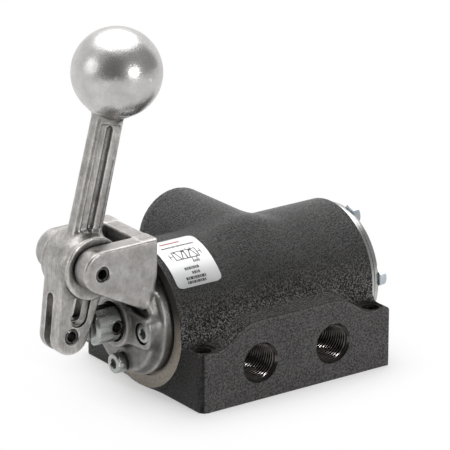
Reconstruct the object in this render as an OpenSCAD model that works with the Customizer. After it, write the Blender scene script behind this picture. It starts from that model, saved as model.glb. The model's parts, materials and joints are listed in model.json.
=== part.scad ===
// Hand lever spool valve, five ports and two positions.
// X runs along the spool, +X away from the lever. The two outlet ports face -Y,
// the inlet boss and the two exhaust ports face +Y. Z is up from the mounting face.
// The origin is the centre of the mounting hole pattern on that face.

/* [Body casting] */
// Length of the rectangular base along X
base_l = 98; // [94:1:120]
// Depth of the base from the outlet face to the exhaust face
base_w = 87; // [84:1:110]
// Height of the four corner flats above the mounting face
base_h = 26.2; // [20:0.2:28]
// Radius of the base's upright corners at the lever end
corner_r = 4; // [1:0.5:5]
// Radius of those at the closed end, which is milled
tail_corner_r = 1; // [0.5:0.5:4]
// Radius of the mounting face's edges at both ends of the base
foot_r = 0.8; // [0.4:0.2:4]
// Radius of the barrel that holds the spool
barrel_r = 30.4; // [29.4:0.1:31.2]
// Height of the spool's axis above the mounting face
axis_z = 31.3; // [31.3:0.1:33]
// How far the barrel stands out past the base at the lever end
nose_out = 1.4; // [0.6:0.2:3]
// How far the barrel stands out past the base at the closed end
tail_out = 0.4; // [0.2:0.2:3]
// Radius of the bore that holds the cages and seals
bore_r = 14; // [13:0.2:14.4]
// Radius of the air galleries cut round the bore
gallery_r = 17.5; // [16:0.1:18.5]
// Width of each gallery
gallery_w = 8; // [5:0.5:9]

/* [Ports] */
// Distance between the two ports on the outlet face, and on the exhaust face
port_pitch = 37.7; // [36:0.1:40]
// Height of those four ports
port_z = 16.5; // [14:0.1:17.5]
// Mean radius of the 3/8 taper pipe thread
thread_r = 8.1; // [7:0.1:9]
// Depth of the thread
thread_l = 13; // [9:0.5:14]
// Width of the chamfer at the mouth of the thread
port_chamfer = 0.7; // [0.3:0.1:1.2]
// Radius of the passage from a port to its gallery
passage_r = 4.6; // [3:0.1:5]
// Radius of the cast lobe round each port
lobe_r = 18.7; // [16:0.1:19]
// Radius of the inlet boss at its mouth
inlet_r = 19.1; // [17:0.1:22]
// Growth of the inlet boss's radius from its mouth to its nose
inlet_draft = 0.7; // [0:0.1:2]
// Height of the inlet port above the spool's axis
inlet_up = 13.9; // [12:0.1:14.5]
// How far the inlet boss stands out past the base
inlet_out = 2.7; // [0:0.1:6]

/* [Mounting holes] */
// Hole spacing along X
mount_x = 87.4; // [80:0.2:88]
// Hole spacing along Y
mount_y = 73.6; // [70:0.2:78]
// Radius of the mounting holes
mount_r = 3.6; // [2.5:0.1:4]
// Radius of the spot face round each hole
spot_r = 5; // [4.5:0.1:5.5]
// Depth of the spot face
spot_d = 0.8; // [0.4:0.1:2]

/* [Lever bracket] */
// Radius of the bracket's round flange
flange_r = 25; // [24.6:0.1:25.4]
// Thickness of the flange at its rim
rim_t = 4.4; // [3:0.1:5]
// Thickness of the flange inside its sloping rim
plate_t = 8.8; // [8:0.1:10]
// How much smaller the plate's face is than the rim
rim_slope = 2.6; // [1:0.1:3]
// Clearance round the flange in its seat in the barrel
seat_gap = 1; // [0.4:0.1:1.2]
// Depth of the flange's seat
seat_d = 1; // [0.5:0.1:2]
// Height of the boss round the spool hole
boss_h = 5; // [3:0.1:5.6]
// Wall of that boss
boss_wall = 2.4; // [1.5:0.1:3]
// Clearance round the spool in that boss
boss_gap = 0.8; // [0.4:0.1:1.2]
// Width over the two ears
ears_w = 37.5; // [36:0.5:44]
// Thickness of each ear
ear_t = 8.6; // [7:0.1:9.2]
// Radius of an ear's round end
ear_r = 9; // [7:0.1:10]
// Height of the ear end's centre above the pivot
ear_up = 0.9; // [0:0.1:1.5]
// Thickness of the wall that joins the ears
wall_t = 6.8; // [5:0.1:7.5]
// Distance from the seat's floor to the outer face of that wall
wall_back = 4.4; // [3.5:0.1:5]

/* [Lever] */
// Distance of the pivot in front of the seat's floor
pivot_out = 31.3; // [30:0.1:33]
// Height of the pivot above the spool's axis
pivot_up = 29.9; // [29.5:0.1:31]
// Lean of the lever from upright, at each end of its travel
lean = 14.2; // [12:0.1:15]
// Distance from the pivot to the centre of the knob
knob_up = 80.9; // [70:0.1:120]
// Radius of the ball knob
knob_r = 19; // [15:0.1:22]
// Width of the handle across the swing
handle_w = 13.8; // [11:0.1:15]
// Thickness of the handle along the pivot
handle_t = 7.4; // [6:0.1:10]
// Radius of the handle's long edges
handle_r = 2.4; // [1:0.1:2.8]
// Depth of the panel in each side of the handle
panel_d = 0.45; // [0.2:0.05:0.8]
// Depth of the flute in each panel
flute_d = 1.1; // [0.5:0.1:1.6]
// Width of that flute
flute_w = 3; // [2:0.1:4]
// Radius of the fillet between handle and knob
neck_fillet = 7; // [4:0.5:9]
// Radius of the barrel that turns between the ears
hub_r = 13.6; // [12:0.1:14]
// How far that barrel's centre lies behind the pivot
hub_shift = 1.4; // [0:0.1:1.6]
// Gap between the barrel and each ear
hub_gap = 0.2; // [0.1:0.05:0.4]
// Radius of the arm's upper end, inside the barrel
arm_top_r = 12.4; // [11:0.1:12.5]
// Radius of the arm's lower end, round its pin
arm_end_r = 8.2; // [7:0.1:8.4]
// Thickness of the arm
arm_t = 13.1; // [11:0.1:14]
// Distance from the pivot to the arm's pin
arm_l = 30.4; // [30:0.1:31]
// Height of the slit above the arm's pin
slit_up = 16.9; // [15:0.1:22]
// Width of the window through each tine of the arm
window_w = 7; // [5:0.1:8]
// Width and depth of the step round that window
window_rim = 0.8; // [0.4:0.1:1.2]
// How far the window's middle lies behind the arm's
window_shift = 1.2; // [0:0.1:1.4]

/* [Pins and link] */
// Radius of the three roll pins
pin_r = 3.2; // [2.5:0.1:3.4]
// Wall of a roll pin
pin_wall = 1.1; // [0.6:0.1:1.3]
// Clearance of a pin in a piece that turns on it
turn_gap = 0.05; // [0.02:0.01:0.1]
// Clearance of a pin in a piece that holds it
hold_gap = 0.02; // [0.01:0.01:0.03]
// Distance that a pin's end lies inside the piece that holds it
pin_sunk = 0.6; // [0.2:0.1:1]
// Thickness of the link plate
link_t = 4; // [3:0.1:4.6]
// Clearance on each side of the link plate in its two slots
link_gap = 0.25; // [0.15:0.05:0.4]
// Half the height of the link plate
link_r = 5.2; // [5:0.1:5.6]
// Distance between the link's two pins
link_l = 21.8; // [21.4:0.1:22.4]
// Rise and fall of the link on the spool's pin as the arm swings
link_rise = 0.6; // [0.55:0.05:0.7]

/* [Spool and cages] */
// Radius of the spool
spool_r = 8; // [7.6:0.1:8.2]
// Radius of the two necks that let air pass
neck_r = 5.2; // [4:0.1:6]
// Clearance round the spool in the seals
seal_gap = 0.06; // [0.02:0.01:0.1]
// Distance between neighbouring galleries
gallery_pitch = 17.5; // [17.2:0.1:17.6]
// Width of each seal
seal_w = 3; // [2.5:0.1:3.2]
// Clearance round the spool in the cages
cage_gap = 0.6; // [0.3:0.1:0.8]
// Clearance between cages and bore
fit_gap = 0.05; // [0.02:0.01:0.1]
// Radius of the air holes in a cage
cage_hole_r = 2.4; // [1.5:0.1:3]
// Number of air holes round a cage
cage_holes = 6; // [4:1:8]
// Distance from the spool's pin to its front end
clevis_l = 10; // [8:0.2:11]
// Height of the chamfer on the spool's front end
spool_chamfer = 1.4; // [0.5:0.1:2]

/* [End cap and fasteners] */
// Thickness of the gasket under the bracket and the end cap
gasket_t = 0.8; // [0.4:0.1:1.2]
// Thickness of the end cap
cap_t = 4.6; // [2.5:0.1:6]
// Inset of the end cap's edge from the barrel
cap_inset = 0.7; // [0:0.1:1]
// Radius of the circle of the bracket's screws
screw_pcr = 19.2; // [19:0.1:19.6]
// Radius of the circle of the end cap's bolts
bolt_pcr = 25; // [24:0.1:26]
// Number of end cap bolts
bolt_count = 5; // [4:1:6]
// Angle of the first bolt from +Y, seen from the closed end
bolt_angle = 32; // [0:1:72]
// Radius of the threads of screws and bolts
screw_r = 2.4; // [2:0.1:2.5]
// Clearance round a screw in the piece it holds down
screw_gap = 0.25; // [0.1:0.05:0.4]
// Radius of a socket head
socket_head_r = 4.25; // [4:0.05:4.5]
// Height of a socket head
socket_head_h = 5; // [4:0.1:5.2]
// Clearance round a socket head in its counterbore
head_gap = 0.5; // [0.2:0.1:0.8]
// Depth of the counterbores below the bracket's plate
sunk_d = 2.1; // [0:0.1:3]
// Depth of the seat of the screw that stands proud
proud_d = 0.3; // [0.2:0.1:1]
// Width across the flats of a hexagon head
hex_af = 8; // [7:0.1:8.5]
// Height of a hexagon head
hex_h = 3.5; // [3:0.1:4.5]
// Length of the threaded part in the body
thread_in = 9; // [7:0.5:10]

/* [Label] */
// Width of the label along the barrel
label_w = 22.4; // [18:0.1:26]
// Distance from the lever end of the barrel to the label
label_in = 3.1; // [2:0.1:10]
// Angle of the label's upper edge from the top of the barrel
label_top = 2; // [0:1:10]
// Angle that the label covers round the barrel
label_span = 52; // [40:1:56]
// Thickness of the label
label_t = 0.2; // [0.1:0.05:0.5]
// Radius of the label's corners
label_r = 2.4; // [1:0.1:4]

/* [Hidden] */
$fn = 96;

// Small overshoot that keeps cutting faces clear of the faces they cut
cut = 1;
// Ends of the barrel
nose_x = -base_l/2 - nose_out;
tail_x = base_l/2 + tail_out;
seat_x = nose_x + seat_d;
// Faces of the bracket, each further out along -X
plate_back = seat_x - gasket_t;
rim_x = plate_back - rim_t;
plate_x = plate_back - plate_t;
boss_x = plate_x - boss_h;
boss_bore_r = spool_r + boss_gap;
sunk_seat = plate_x + sunk_d;
proud_seat = plate_x + proud_d;
wall_x0 = seat_x - wall_back;
wall_x1 = wall_x0 - wall_t;
// Pivot, arm pin and spool pin at rest
pivot_x = seat_x - pivot_out;
pivot_z = axis_z + pivot_up;
arm_pin_x = pivot_x - arm_l*sin(lean);
arm_pin_z = pivot_z - arm_l*cos(lean);
spool_pin_x = arm_pin_x + link_l;
stroke = 2*arm_l*sin(lean);
// Inside width between the ears, and half the length of the lever's barrel
ears_in = ears_w/2 - ear_t;
hub_half = ears_in - hub_gap;
slit_w = link_t + 2*link_gap;
// Galleries and seals along the bore
gallery_half = gallery_w/2;
seal_r_in = spool_r + seal_gap;
cage_r_out = bore_r - fit_gap;
cage_r_in = spool_r + cage_gap;
cap_x0 = tail_x + gasket_t;
cap_x1 = cap_x0 + cap_t;
cap_r = barrel_r - cap_inset;
inlet_y = base_w/2 + inlet_out;
inlet_z = axis_z + inlet_up;
lobe_top = port_z + lobe_r;
fine = 64;

function gallery_x(i) = (i - 3)*gallery_pitch;
// The first seal lies just outside the lever end gallery, the others between galleries.
function seal_x(i) = i == 1 ? gallery_x(1) - gallery_half - seal_w/2 - 2
                            : (gallery_x(i - 1) + gallery_x(i))/2;
function cage_x0(i) = seal_x(i) + seal_w/2;
function cage_x1(i) = i == 5 ? tail_x : seal_x(i + 1) - seal_w/2;

// Centres of the spool's two necks at rest. At each end of the stroke a neck spans one seal.
neck_half = gallery_pitch/2;
neck_1 = gallery_x(2) - stroke/2;
neck_2 = gallery_x(4) - stroke/2;
spool_front = spool_pin_x - clevis_l;
spool_end = tail_x - stroke - 0.5;
slot_end = spool_pin_x + link_r + link_gap;

// Places a shape drawn with its axis along Z so that the axis is the spool's axis.
module on_axis(x) {
    translate([x, 0, axis_z]) rotate([0, 90, 0]) children();
}

// Cylinder along X on the spool's axis, from x0 to x1.
module x_rod(r, x0, x1) {
    on_axis(x0) cylinder(r = r, h = x1 - x0);
}

// Cylinder along Y from y0 to y1.
module y_rod(r, x, z, y0, y1) {
    translate([x, y1, z]) rotate([90, 0, 0]) cylinder(r = r, h = y1 - y0);
}

// Extrudes an outline drawn in X and Z along Y, from y0 to y1.
module side_extrude(y0, y1) {
    translate([0, y1, 0]) rotate([90, 0, 0]) linear_extrude(y1 - y0) children();
}

// Slot outline with a round lower end and a square upper end.
module round_slot(r, x, low, high) {
    translate([x, low + r]) circle(r, $fn = 48);
    translate([x - r, low + r]) square([2*r, high - low - r]);
}

// Ring on the spool's axis.
module ring(r_out, r_in, x0, x1) {
    difference() {
        x_rod(r_out, x0, x1);
        x_rod(r_in, x0 - cut, x1 + cut);
    }
}

// Copies a shape round the spool's axis.
module round_axis(count, first, x, r) {
    for (i = [0:count - 1])
        on_axis(x) rotate(first + i*360/count) translate([r, 0, 0]) children();
}

// Copies a shape at the end cap's bolts.
module cap_circle(x) {
    round_axis(bolt_count, 90 + bolt_angle, x, bolt_pcr) children();
}

// Copies a shape at the bracket's three sunk screws.
module sunk_holes(x) {
    for (a = [90, 180, 270])
        on_axis(x) rotate(a) translate([screw_pcr, 0, 0]) children();
}

// Roll pin along Y: a sprung tube with an open seam.
module roll_pin(x, z, half) {
    chamfer = 0.5;
    translate([x, half, z]) rotate([90, 0, 0]) difference() {
        rotate_extrude() polygon([[pin_r - pin_wall, 0], [pin_r - chamfer, 0], [pin_r, chamfer],
            [pin_r, 2*half - chamfer], [pin_r - chamfer, 2*half], [pin_r - pin_wall, 2*half]]);
        translate([0, -pin_r, half]) cube([0.6, 2*pin_r, 2*half + cut], center = true);
    }
}

// Valve body

module foot_profile() {
    translate([-base_l/2, 0]) hull() {
        for (x = [foot_r, base_l - foot_r]) translate([x, foot_r]) circle(foot_r, $fn = fine);
        translate([0, base_h - 1]) square([base_l, 1]);
    }
}

module lobe_profile() {
    blend = 3;
    offset(r = -blend, $fn = fine) offset(r = blend, $fn = fine) {
        translate([-base_l/2 + corner_r, base_h/2]) square([base_l - 2*corner_r, base_h/2]);
        hull() for (side = [-1, 1])
            translate([side*port_pitch/2, port_z]) circle(lobe_r);
    }
}

module base_block() {
    intersection() {
        side_extrude(-base_w/2, base_w/2) {
            foot_profile();
            intersection() {
                lobe_profile();
                translate([-base_l/2, base_h/2]) square([base_l, base_h]);
            }
        }
        linear_extrude(lobe_top + cut) hull() for (side = [-1, 1]) {
            translate([corner_r - base_l/2, side*(base_w/2 - corner_r)]) circle(corner_r, $fn = fine);
            translate([base_l/2 - tail_corner_r, side*(base_w/2 - tail_corner_r)])
                circle(tail_corner_r, $fn = fine);
        }
    }
}

// The inlet boss ends over the spool in a round nose.
module inlet_boss() {
    nose_r = inlet_r + inlet_draft;
    steps = 12;
    arc = [for (i = [0:steps]) [nose_r*cos(90*i/steps), inlet_y + nose_r*sin(90*i/steps)]];
    translate([0, inlet_y, inlet_z]) rotate([90, 0, 0])
        rotate_extrude() polygon(concat([[0, 0], [inlet_r, 0]], arc));
}

module tapped_port() {
    mouth_h = 0.3;
    mouth_r = thread_r + port_chamfer;
    cylinder(r = thread_r, h = thread_l);
    translate([0, 0, -cut]) cylinder(r = mouth_r, h = cut + mouth_h);
    translate([0, 0, mouth_h]) cylinder(r1 = mouth_r, r2 = thread_r, h = port_chamfer);
}

// Slanted passage from an exhaust port's bottom to the gallery at the barrel's end.
module exhaust_passage(side) {
    exhaust_r = passage_r - 0.6;
    start = [side*port_pitch/2, base_w/2 - thread_l + cut, port_z];
    end = [side*2*gallery_pitch, bore_r, axis_z - bore_r/2];
    run = end - start;
    length = norm(run);
    translate(start) rotate([0, acos(run[2]/length), atan2(run[1], run[0])])
        cylinder(r = exhaust_r, h = length);
}

module valve_body() {
    color("#2f2d2c") difference() {
        union() {
            base_block();
            x_rod(barrel_r, nose_x, tail_x);
            inlet_boss();
        }
        x_rod(bore_r, nose_x - cut, tail_x + cut);
        x_rod(flange_r + seat_gap, nose_x - cut, seat_x);
        for (i = [1:5])
            x_rod(gallery_r, gallery_x(i) - gallery_half, gallery_x(i) + gallery_half);
        for (side = [-1, 1]) {
            translate([side*port_pitch/2, -base_w/2, port_z]) rotate([-90, 0, 0]) tapped_port();
            translate([side*port_pitch/2, base_w/2, port_z]) rotate([90, 0, 0]) tapped_port();
            y_rod(passage_r, side*port_pitch/2, port_z, -base_w/2 + thread_l - cut, -bore_r/2);
            exhaust_passage(side);
        }
        translate([0, inlet_y, inlet_z]) rotate([90, 0, 0]) tapped_port();
        y_rod(passage_r, 0, inlet_z, bore_r/2, inlet_y - thread_l + cut);
        for (x = [-1, 1], y = [-1, 1]) translate([x*mount_x/2, y*mount_y/2, 0]) {
            translate([0, 0, -cut]) cylinder(r = mount_r, h = base_h + 2*cut);
            translate([0, 0, base_h - spot_d]) cylinder(r = spot_r, h = lobe_top);
        }
        round_axis(4, 0, seat_x - cut, screw_pcr) cylinder(r = screw_r, h = thread_in + 1 + cut);
        cap_circle(tail_x - thread_in - 1) cylinder(r = screw_r, h = thread_in + 1 + cut);
    }
}

// Lever bracket

// The ear's lower edge runs down to the plate beside the boss and then back up along the rim.
module ear_profile() {
    end_z = pivot_z + ear_up;
    tip_r = 0.4;
    tip = [plate_x - 1.8, axis_z + 10.2];
    heel = [wall_x0 - 1.5, axis_z + 18.8];
    back_z = axis_z + 24;
    hull() {
        translate([pivot_x, end_z]) circle(ear_r);
        for (corner = [tip, heel]) translate(corner) circle(tip_r, $fn = 24);
        translate([wall_x0 - 1, back_z]) square([1, end_z + ear_r - back_z]);
    }
}

module flange_disc() {
    face_r = flange_r - rim_slope;
    chamfer = 0.6;
    h = plate_back - plate_x;
    on_axis(plate_x) rotate_extrude() polygon([[0, 0], [face_r, 0], [face_r + 0.8, h - rim_t - 0.4],
        [flange_r - chamfer, h - rim_t], [flange_r, h - rim_t + chamfer], [flange_r, h], [0, h]]);
}

// Boss for a sunk screw, cut off by the flange's rim.
module screw_lug(side) {
    lug_r = 7;
    lug_h = 3.3;
    inner_r = lug_r + 1;
    intersection() {
        on_axis(plate_x - lug_h) linear_extrude(lug_h + cut) hull() {
            translate([0, side*screw_pcr]) circle(lug_r);
            translate([0, side*inner_r]) circle(inner_r);
        }
        x_rod(flange_r - 0.7, boss_x, plate_back);
    }
}

module lever_bracket() {
    top_z = pivot_z + ear_up + ear_r;
    wall_low = axis_z + boss_bore_r + boss_wall - 1;
    color("#b9b8b4") difference() {
        union() {
            flange_disc();
            on_axis(boss_x) cylinder(r1 = boss_bore_r + boss_wall, r2 = boss_bore_r + boss_wall + 0.5,
                h = boss_h + cut);
            for (side = [-1, 1]) {
                screw_lug(side);
                scale([1, side, 1]) side_extrude(ears_in, ears_w/2) ear_profile();
            }
            translate([wall_x1, -ears_w/2 + cut, wall_low])
                cube([wall_t, ears_w - 2*cut, top_z - wall_low]);
        }
        x_rod(boss_bore_r, boss_x - cut, plate_back + cut);
        y_rod(pin_r + hold_gap, pivot_x, pivot_z, -ears_w/2 - cut, ears_w/2 + cut);
        round_axis(4, 0, boss_x, screw_pcr) cylinder(r = screw_r + screw_gap, h = plate_back - boss_x + cut);
        sunk_holes(boss_x) cylinder(r = socket_head_r + head_gap, h = sunk_seat - boss_x);
        on_axis(boss_x) translate([screw_pcr, 0, 0])
            cylinder(r = socket_head_r + 2*head_gap, h = proud_seat - boss_x);
    }
}

module bracket_gasket() {
    color("#3a3733") difference() {
        ring(flange_r - 0.4, bore_r + 0.6, plate_back, seat_x);
        round_axis(4, 0, plate_back - cut, screw_pcr) cylinder(r = screw_r + screw_gap, h = gasket_t + 2*cut);
    }
}

// Socket head screw whose head bears on a seat at x = seat.
module socket_screw(seat) {
    socket_af = 4;
    socket_d = 2.6;
    chamfer = 0.5;
    difference() {
        union() {
            rotate_extrude() polygon([[0, 0], [socket_head_r - chamfer, 0], [socket_head_r, chamfer],
                [socket_head_r, socket_head_h], [0, socket_head_h]]);
            cylinder(r = screw_r - hold_gap, h = socket_head_h + seat_x + thread_in - seat);
        }
        translate([0, 0, -cut]) cylinder(r = socket_af/sqrt(3), h = socket_d + cut, $fn = 6);
    }
}

module bracket_screws() {
    color("#a9aba6") {
        sunk_holes(sunk_seat - socket_head_h) socket_screw(sunk_seat);
        on_axis(proud_seat - socket_head_h) translate([screw_pcr, 0, 0]) socket_screw(proud_seat);
    }
}

module pivot_pin() {
    color("#1e1d1c") roll_pin(pivot_x, pivot_z, ears_w/2 - pin_sunk);
}

// Lever, drawn upright about its pivot and then leaned over

module rounded_bar(w, t, r) {
    hull() for (x = [-1, 1], y = [-1, 1])
        translate([x*(w/2 - r), y*(t/2 - r)]) circle(r, $fn = 32);
}

// Trumpet between handle and knob, tangent to both.
module neck() {
    start_r = handle_t/2;
    centre_r = start_r + neck_fillet;
    drop = sqrt(pow(knob_r + neck_fillet, 2) - pow(centre_r, 2));
    start_z = knob_up - drop;
    sweep = atan2(drop, centre_r);
    steps = 10;
    arc = [for (i = [0:steps]) let (t = sweep*i/steps)
        [centre_r - neck_fillet*cos(t), start_z + neck_fillet*sin(t)]];
    rotate_extrude() polygon(concat([[0, start_z]], arc, [[0, arc[steps][1]]]));
}

module handle() {
    linear_extrude(knob_up - knob_r/2) rounded_bar(handle_w, handle_t, handle_r);
    translate([0, 0, knob_up]) sphere(knob_r, $fn = 128);
    neck();
}

// Panel in one side of the handle, with a flute along its middle.
module handle_recess(side) {
    panel_w = handle_w - 2*handle_r + 1;
    low = hub_r + 1.5;
    high = knob_up - knob_r - 2.2;
    face = handle_t/2;
    flute_h = high - low - flute_w/2;
    scale([1, side, 1]) {
        side_extrude(face - panel_d, face + cut) translate([-panel_w/2, low]) square([panel_w, high - low]);
        side_extrude(face - panel_d - flute_d, face + cut) translate([0, low + flute_h])
            scale([1, -1, 1]) round_slot(flute_w/2, 0, 0, flute_h);
    }
}

// Window through both tines, closed above by the barrel, with a step round it on each side.
module arm_window() {
    r = window_w/2;
    low = -arm_l + pin_r + 1.6;
    high = -hub_r - 0.6;
    side_extrude(-arm_t, arm_t) round_slot(r, window_shift, low, high);
    for (side = [-1, 1]) scale([1, side, 1]) side_extrude(arm_t/2 - window_rim, arm_t/2 + cut)
        round_slot(r + window_rim, window_shift, low - window_rim, high);
}

// Slit between the two tines, open below.
module arm_slit() {
    r = slit_w/2;
    translate([-arm_top_r - cut, 0, -arm_l]) rotate([90, 0, 90]) linear_extrude(2*arm_top_r + 2*cut)
        translate([0, slit_up]) scale([1, -1, 1]) round_slot(r, 0, 0, slit_up + arm_end_r + cut);
}

module lever() {
    color("#c4c3bf") translate([pivot_x, 0, pivot_z]) rotate([0, lean, 0]) difference() {
        union() {
            difference() {
                handle();
                for (side = [-1, 1]) handle_recess(side);
            }
            side_extrude(-arm_t/2, arm_t/2) hull() {
                circle(arm_top_r);
                translate([0, -arm_l]) circle(arm_end_r);
            }
            y_rod(hub_r, hub_shift, 0, -hub_half, hub_half);
        }
        arm_window();
        arm_slit();
        y_rod(pin_r + turn_gap, 0, 0, -ears_w/2, ears_w/2);
        y_rod(pin_r + hold_gap, 0, -arm_l, -arm_t, arm_t);
    }
}

module arm_pin() {
    color("#1e1d1c") roll_pin(arm_pin_x, arm_pin_z, arm_t/2 - pin_sunk/2);
}

module link() {
    color("#9aa095") difference() {
        side_extrude(-link_t/2, link_t/2) hull() for (x = [0, link_l])
            translate([arm_pin_x + x, arm_pin_z]) circle(link_r);
        y_rod(pin_r + turn_gap, arm_pin_x, arm_pin_z, -link_t, link_t);
        side_extrude(-link_t, link_t) hull() for (z = [-link_rise, link_rise])
            translate([spool_pin_x, arm_pin_z + z]) circle(pin_r + turn_gap, $fn = 48);
    }
}

// Spool and the parts in its bore

module spool() {
    n1 = neck_1 - neck_half;
    n2 = neck_2 - neck_half;
    slope = 1.2;
    color("#8f978e") difference() {
        on_axis(0) rotate_extrude() polygon([[0, spool_front], [spool_r - spool_chamfer, spool_front],
            [spool_r, spool_front + spool_chamfer], [spool_r, n1], [neck_r, n1 + slope],
            [neck_r, n1 + gallery_pitch - slope], [spool_r, n1 + gallery_pitch],
            [spool_r, n2], [neck_r, n2 + slope], [neck_r, n2 + gallery_pitch - slope],
            [spool_r, n2 + gallery_pitch], [spool_r, spool_end - 1], [spool_r - 1, spool_end],
            [0, spool_end]]);
        translate([spool_front - cut, -slit_w/2, axis_z - spool_r - cut])
            cube([slot_end - spool_front + cut, slit_w, 2*spool_r + 2*cut]);
        y_rod(pin_r + hold_gap, spool_pin_x, axis_z, -spool_r - cut, spool_r + cut);
    }
}

module spool_pin() {
    color("#1e1d1c") roll_pin(spool_pin_x, axis_z, spool_r - 0.8);
}

module front_spacer() {
    color("#a58a4a") ring(cage_r_out, boss_bore_r, plate_back, seal_x(1) - seal_w/2);
}

// Packing ring with a lip that narrows towards the spool.
module seal(i) {
    x = seal_x(i) - seal_w/2;
    lip = seal_w/4;
    color("#262424") on_axis(x) rotate_extrude() polygon([[seal_r_in, lip], [seal_r_in + 1.5, 0],
        [cage_r_out, 0], [cage_r_out, seal_w], [seal_r_in + 1.5, seal_w], [seal_r_in, seal_w - lip]]);
}

module cage(i) {
    groove = gallery_w - 1;
    color("#a58a4a") difference() {
        ring(cage_r_out, cage_r_in, cage_x0(i), cage_x1(i));
        ring(cage_r_out + cut, cage_r_out - 2, gallery_x(i) - groove/2, gallery_x(i) + groove/2);
        for (k = [0:cage_holes - 1]) translate([gallery_x(i), 0, axis_z])
            rotate([15 + k*360/cage_holes, 0, 0]) cylinder(r = cage_hole_r, h = cage_r_out + cut);
    }
}

module stack_washer() {
    color("#a9aba6") ring(cage_r_out, cage_r_in + 1, tail_x, cap_x0);
}

module end_cap_gasket() {
    color("#3a3733") difference() {
        ring(cap_r - 0.4, bore_r + 0.6, tail_x, cap_x0);
        cap_circle(tail_x - cut) cylinder(r = screw_r + screw_gap, h = gasket_t + 2*cut);
    }
}

module end_cap() {
    face_r = cap_r - 0.8;
    chamfer = 0.4;
    color("#b9b8b4") difference() {
        on_axis(cap_x0) rotate_extrude() polygon([[0, 0], [cap_r, 0], [cap_r, cap_t/2],
            [face_r, cap_t/2 + chamfer], [face_r, cap_t - chamfer], [face_r - chamfer, cap_t], [0, cap_t]]);
        cap_circle(cap_x0 - cut) cylinder(r = screw_r + screw_gap, h = cap_t + 2*cut);
    }
}

// Bolt whose hexagon head sits on Z = 0. A cone bevels the head's corners.
module hex_bolt() {
    grip = cap_t + gasket_t + thread_in;
    corner = hex_af/sqrt(3);
    bevel = 0.7;
    turn = 34;
    translate([0, 0, -grip]) cylinder(r = screw_r - hold_gap, h = grip + 1);
    rotate(turn) intersection() {
        cylinder(r = corner, h = hex_h, $fn = 6);
        rotate_extrude() polygon([[0, 0], [corner + 0.1, 0], [corner + 0.1, hex_h - bevel],
            [hex_af/2 - 0.1, hex_h], [0, hex_h]]);
    }
}

module end_cap_bolts() {
    color("#a9b0b4") cap_circle(cap_x1) hex_bolt();
}

// The label is a bare curved plate.
module label() {
    mid = label_top + label_span/2;
    chord = 2*(barrel_r + label_t)*sin(label_span/2);
    color("#dcdcdc") intersection() {
        ring(barrel_r + label_t, barrel_r, nose_x, tail_x);
        translate([nose_x + label_in + label_w/2, 0, axis_z]) rotate([mid, 0, 0])
            linear_extrude(barrel_r + cut) hull() for (x = [-1, 1], y = [-1, 1])
                translate([x*(label_w/2 - label_r), y*(chord/2 - label_r)]) circle(label_r, $fn = 32);
    }
}

valve_body();
lever_bracket();
bracket_gasket();
bracket_screws();
pivot_pin();
lever();
arm_pin();
link();
spool();
spool_pin();
front_spacer();
seal(1);  // seal_1
cage(1);  // cage_1
seal(2);  // seal_2
cage(2);  // cage_2
seal(3);  // seal_3
cage(3);  // cage_3
seal(4);  // seal_4
cage(4);  // cage_4
seal(5);  // seal_5
cage(5);  // cage_5
stack_washer();
end_cap_gasket();
end_cap();
end_cap_bolts();
label();
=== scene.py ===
import json
import math

import bmesh
import bpy
import numpy as np
from mathutils import Matrix, Vector


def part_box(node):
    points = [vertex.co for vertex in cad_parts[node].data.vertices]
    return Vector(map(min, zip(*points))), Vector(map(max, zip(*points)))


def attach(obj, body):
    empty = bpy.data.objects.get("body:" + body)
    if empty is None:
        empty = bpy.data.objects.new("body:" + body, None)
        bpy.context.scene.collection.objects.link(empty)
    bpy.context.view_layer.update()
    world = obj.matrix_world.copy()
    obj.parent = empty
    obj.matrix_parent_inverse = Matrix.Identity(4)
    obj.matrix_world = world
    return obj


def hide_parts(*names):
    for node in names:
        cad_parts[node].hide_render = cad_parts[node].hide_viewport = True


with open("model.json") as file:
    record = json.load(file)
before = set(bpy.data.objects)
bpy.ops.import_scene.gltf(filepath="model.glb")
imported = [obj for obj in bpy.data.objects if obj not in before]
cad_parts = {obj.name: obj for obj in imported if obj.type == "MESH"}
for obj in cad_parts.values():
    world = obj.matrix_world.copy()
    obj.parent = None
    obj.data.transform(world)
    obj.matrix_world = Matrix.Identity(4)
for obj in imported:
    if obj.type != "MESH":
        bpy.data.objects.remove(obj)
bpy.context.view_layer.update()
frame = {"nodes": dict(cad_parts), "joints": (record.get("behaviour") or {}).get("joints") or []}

# Lengths in this script are millimetres, and MM turns them into metres when a mesh is made.
MM = 0.001

# Camera, as the photograph's straight edges and the two port mouths give it
CAMERA_HEADING = 35.62
CAMERA_DIP = 19.78
CAMERA_ROLL = 0.18
CAMERA_PLACE = (-943.37, -1308.0, 640.7)
CAMERA_LENS = 324.0
SENSOR = 36.0
NEAR_CLIP = 50.0
FAR_CLIP = 50000.0


def turned(degrees, axis):
    """Turn about one of the axes."""
    return Matrix.Rotation(math.radians(degrees), 4, axis)


def make_camera():
    data = bpy.data.cameras.new("camera")
    data.lens = CAMERA_LENS
    data.sensor_width = SENSOR
    data.clip_start = NEAR_CLIP * MM
    data.clip_end = FAR_CLIP * MM
    camera = bpy.data.objects.new("camera", data)
    turn = turned(-CAMERA_HEADING, "Z") @ turned(90.0 - CAMERA_DIP, "X") @ turned(CAMERA_ROLL, "Z")
    camera.matrix_world = Matrix.Translation(Vector(CAMERA_PLACE) * MM) @ turn
    bpy.context.scene.collection.objects.link(camera)
    bpy.context.scene.camera = camera


make_camera()


# Driving sizes, read from the frame where it gives them

def node_box(node):
    """Lowest and highest corner of a CAD node, in millimetres."""
    low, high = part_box(node)
    return np.array(low) / MM, np.array(high) / MM


def joint_place(name):
    """A joint's place at rest, in millimetres."""
    joint = [j for j in frame["joints"] if j["name"] == name][0]
    return np.array(joint["pos_m"]) / MM


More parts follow.
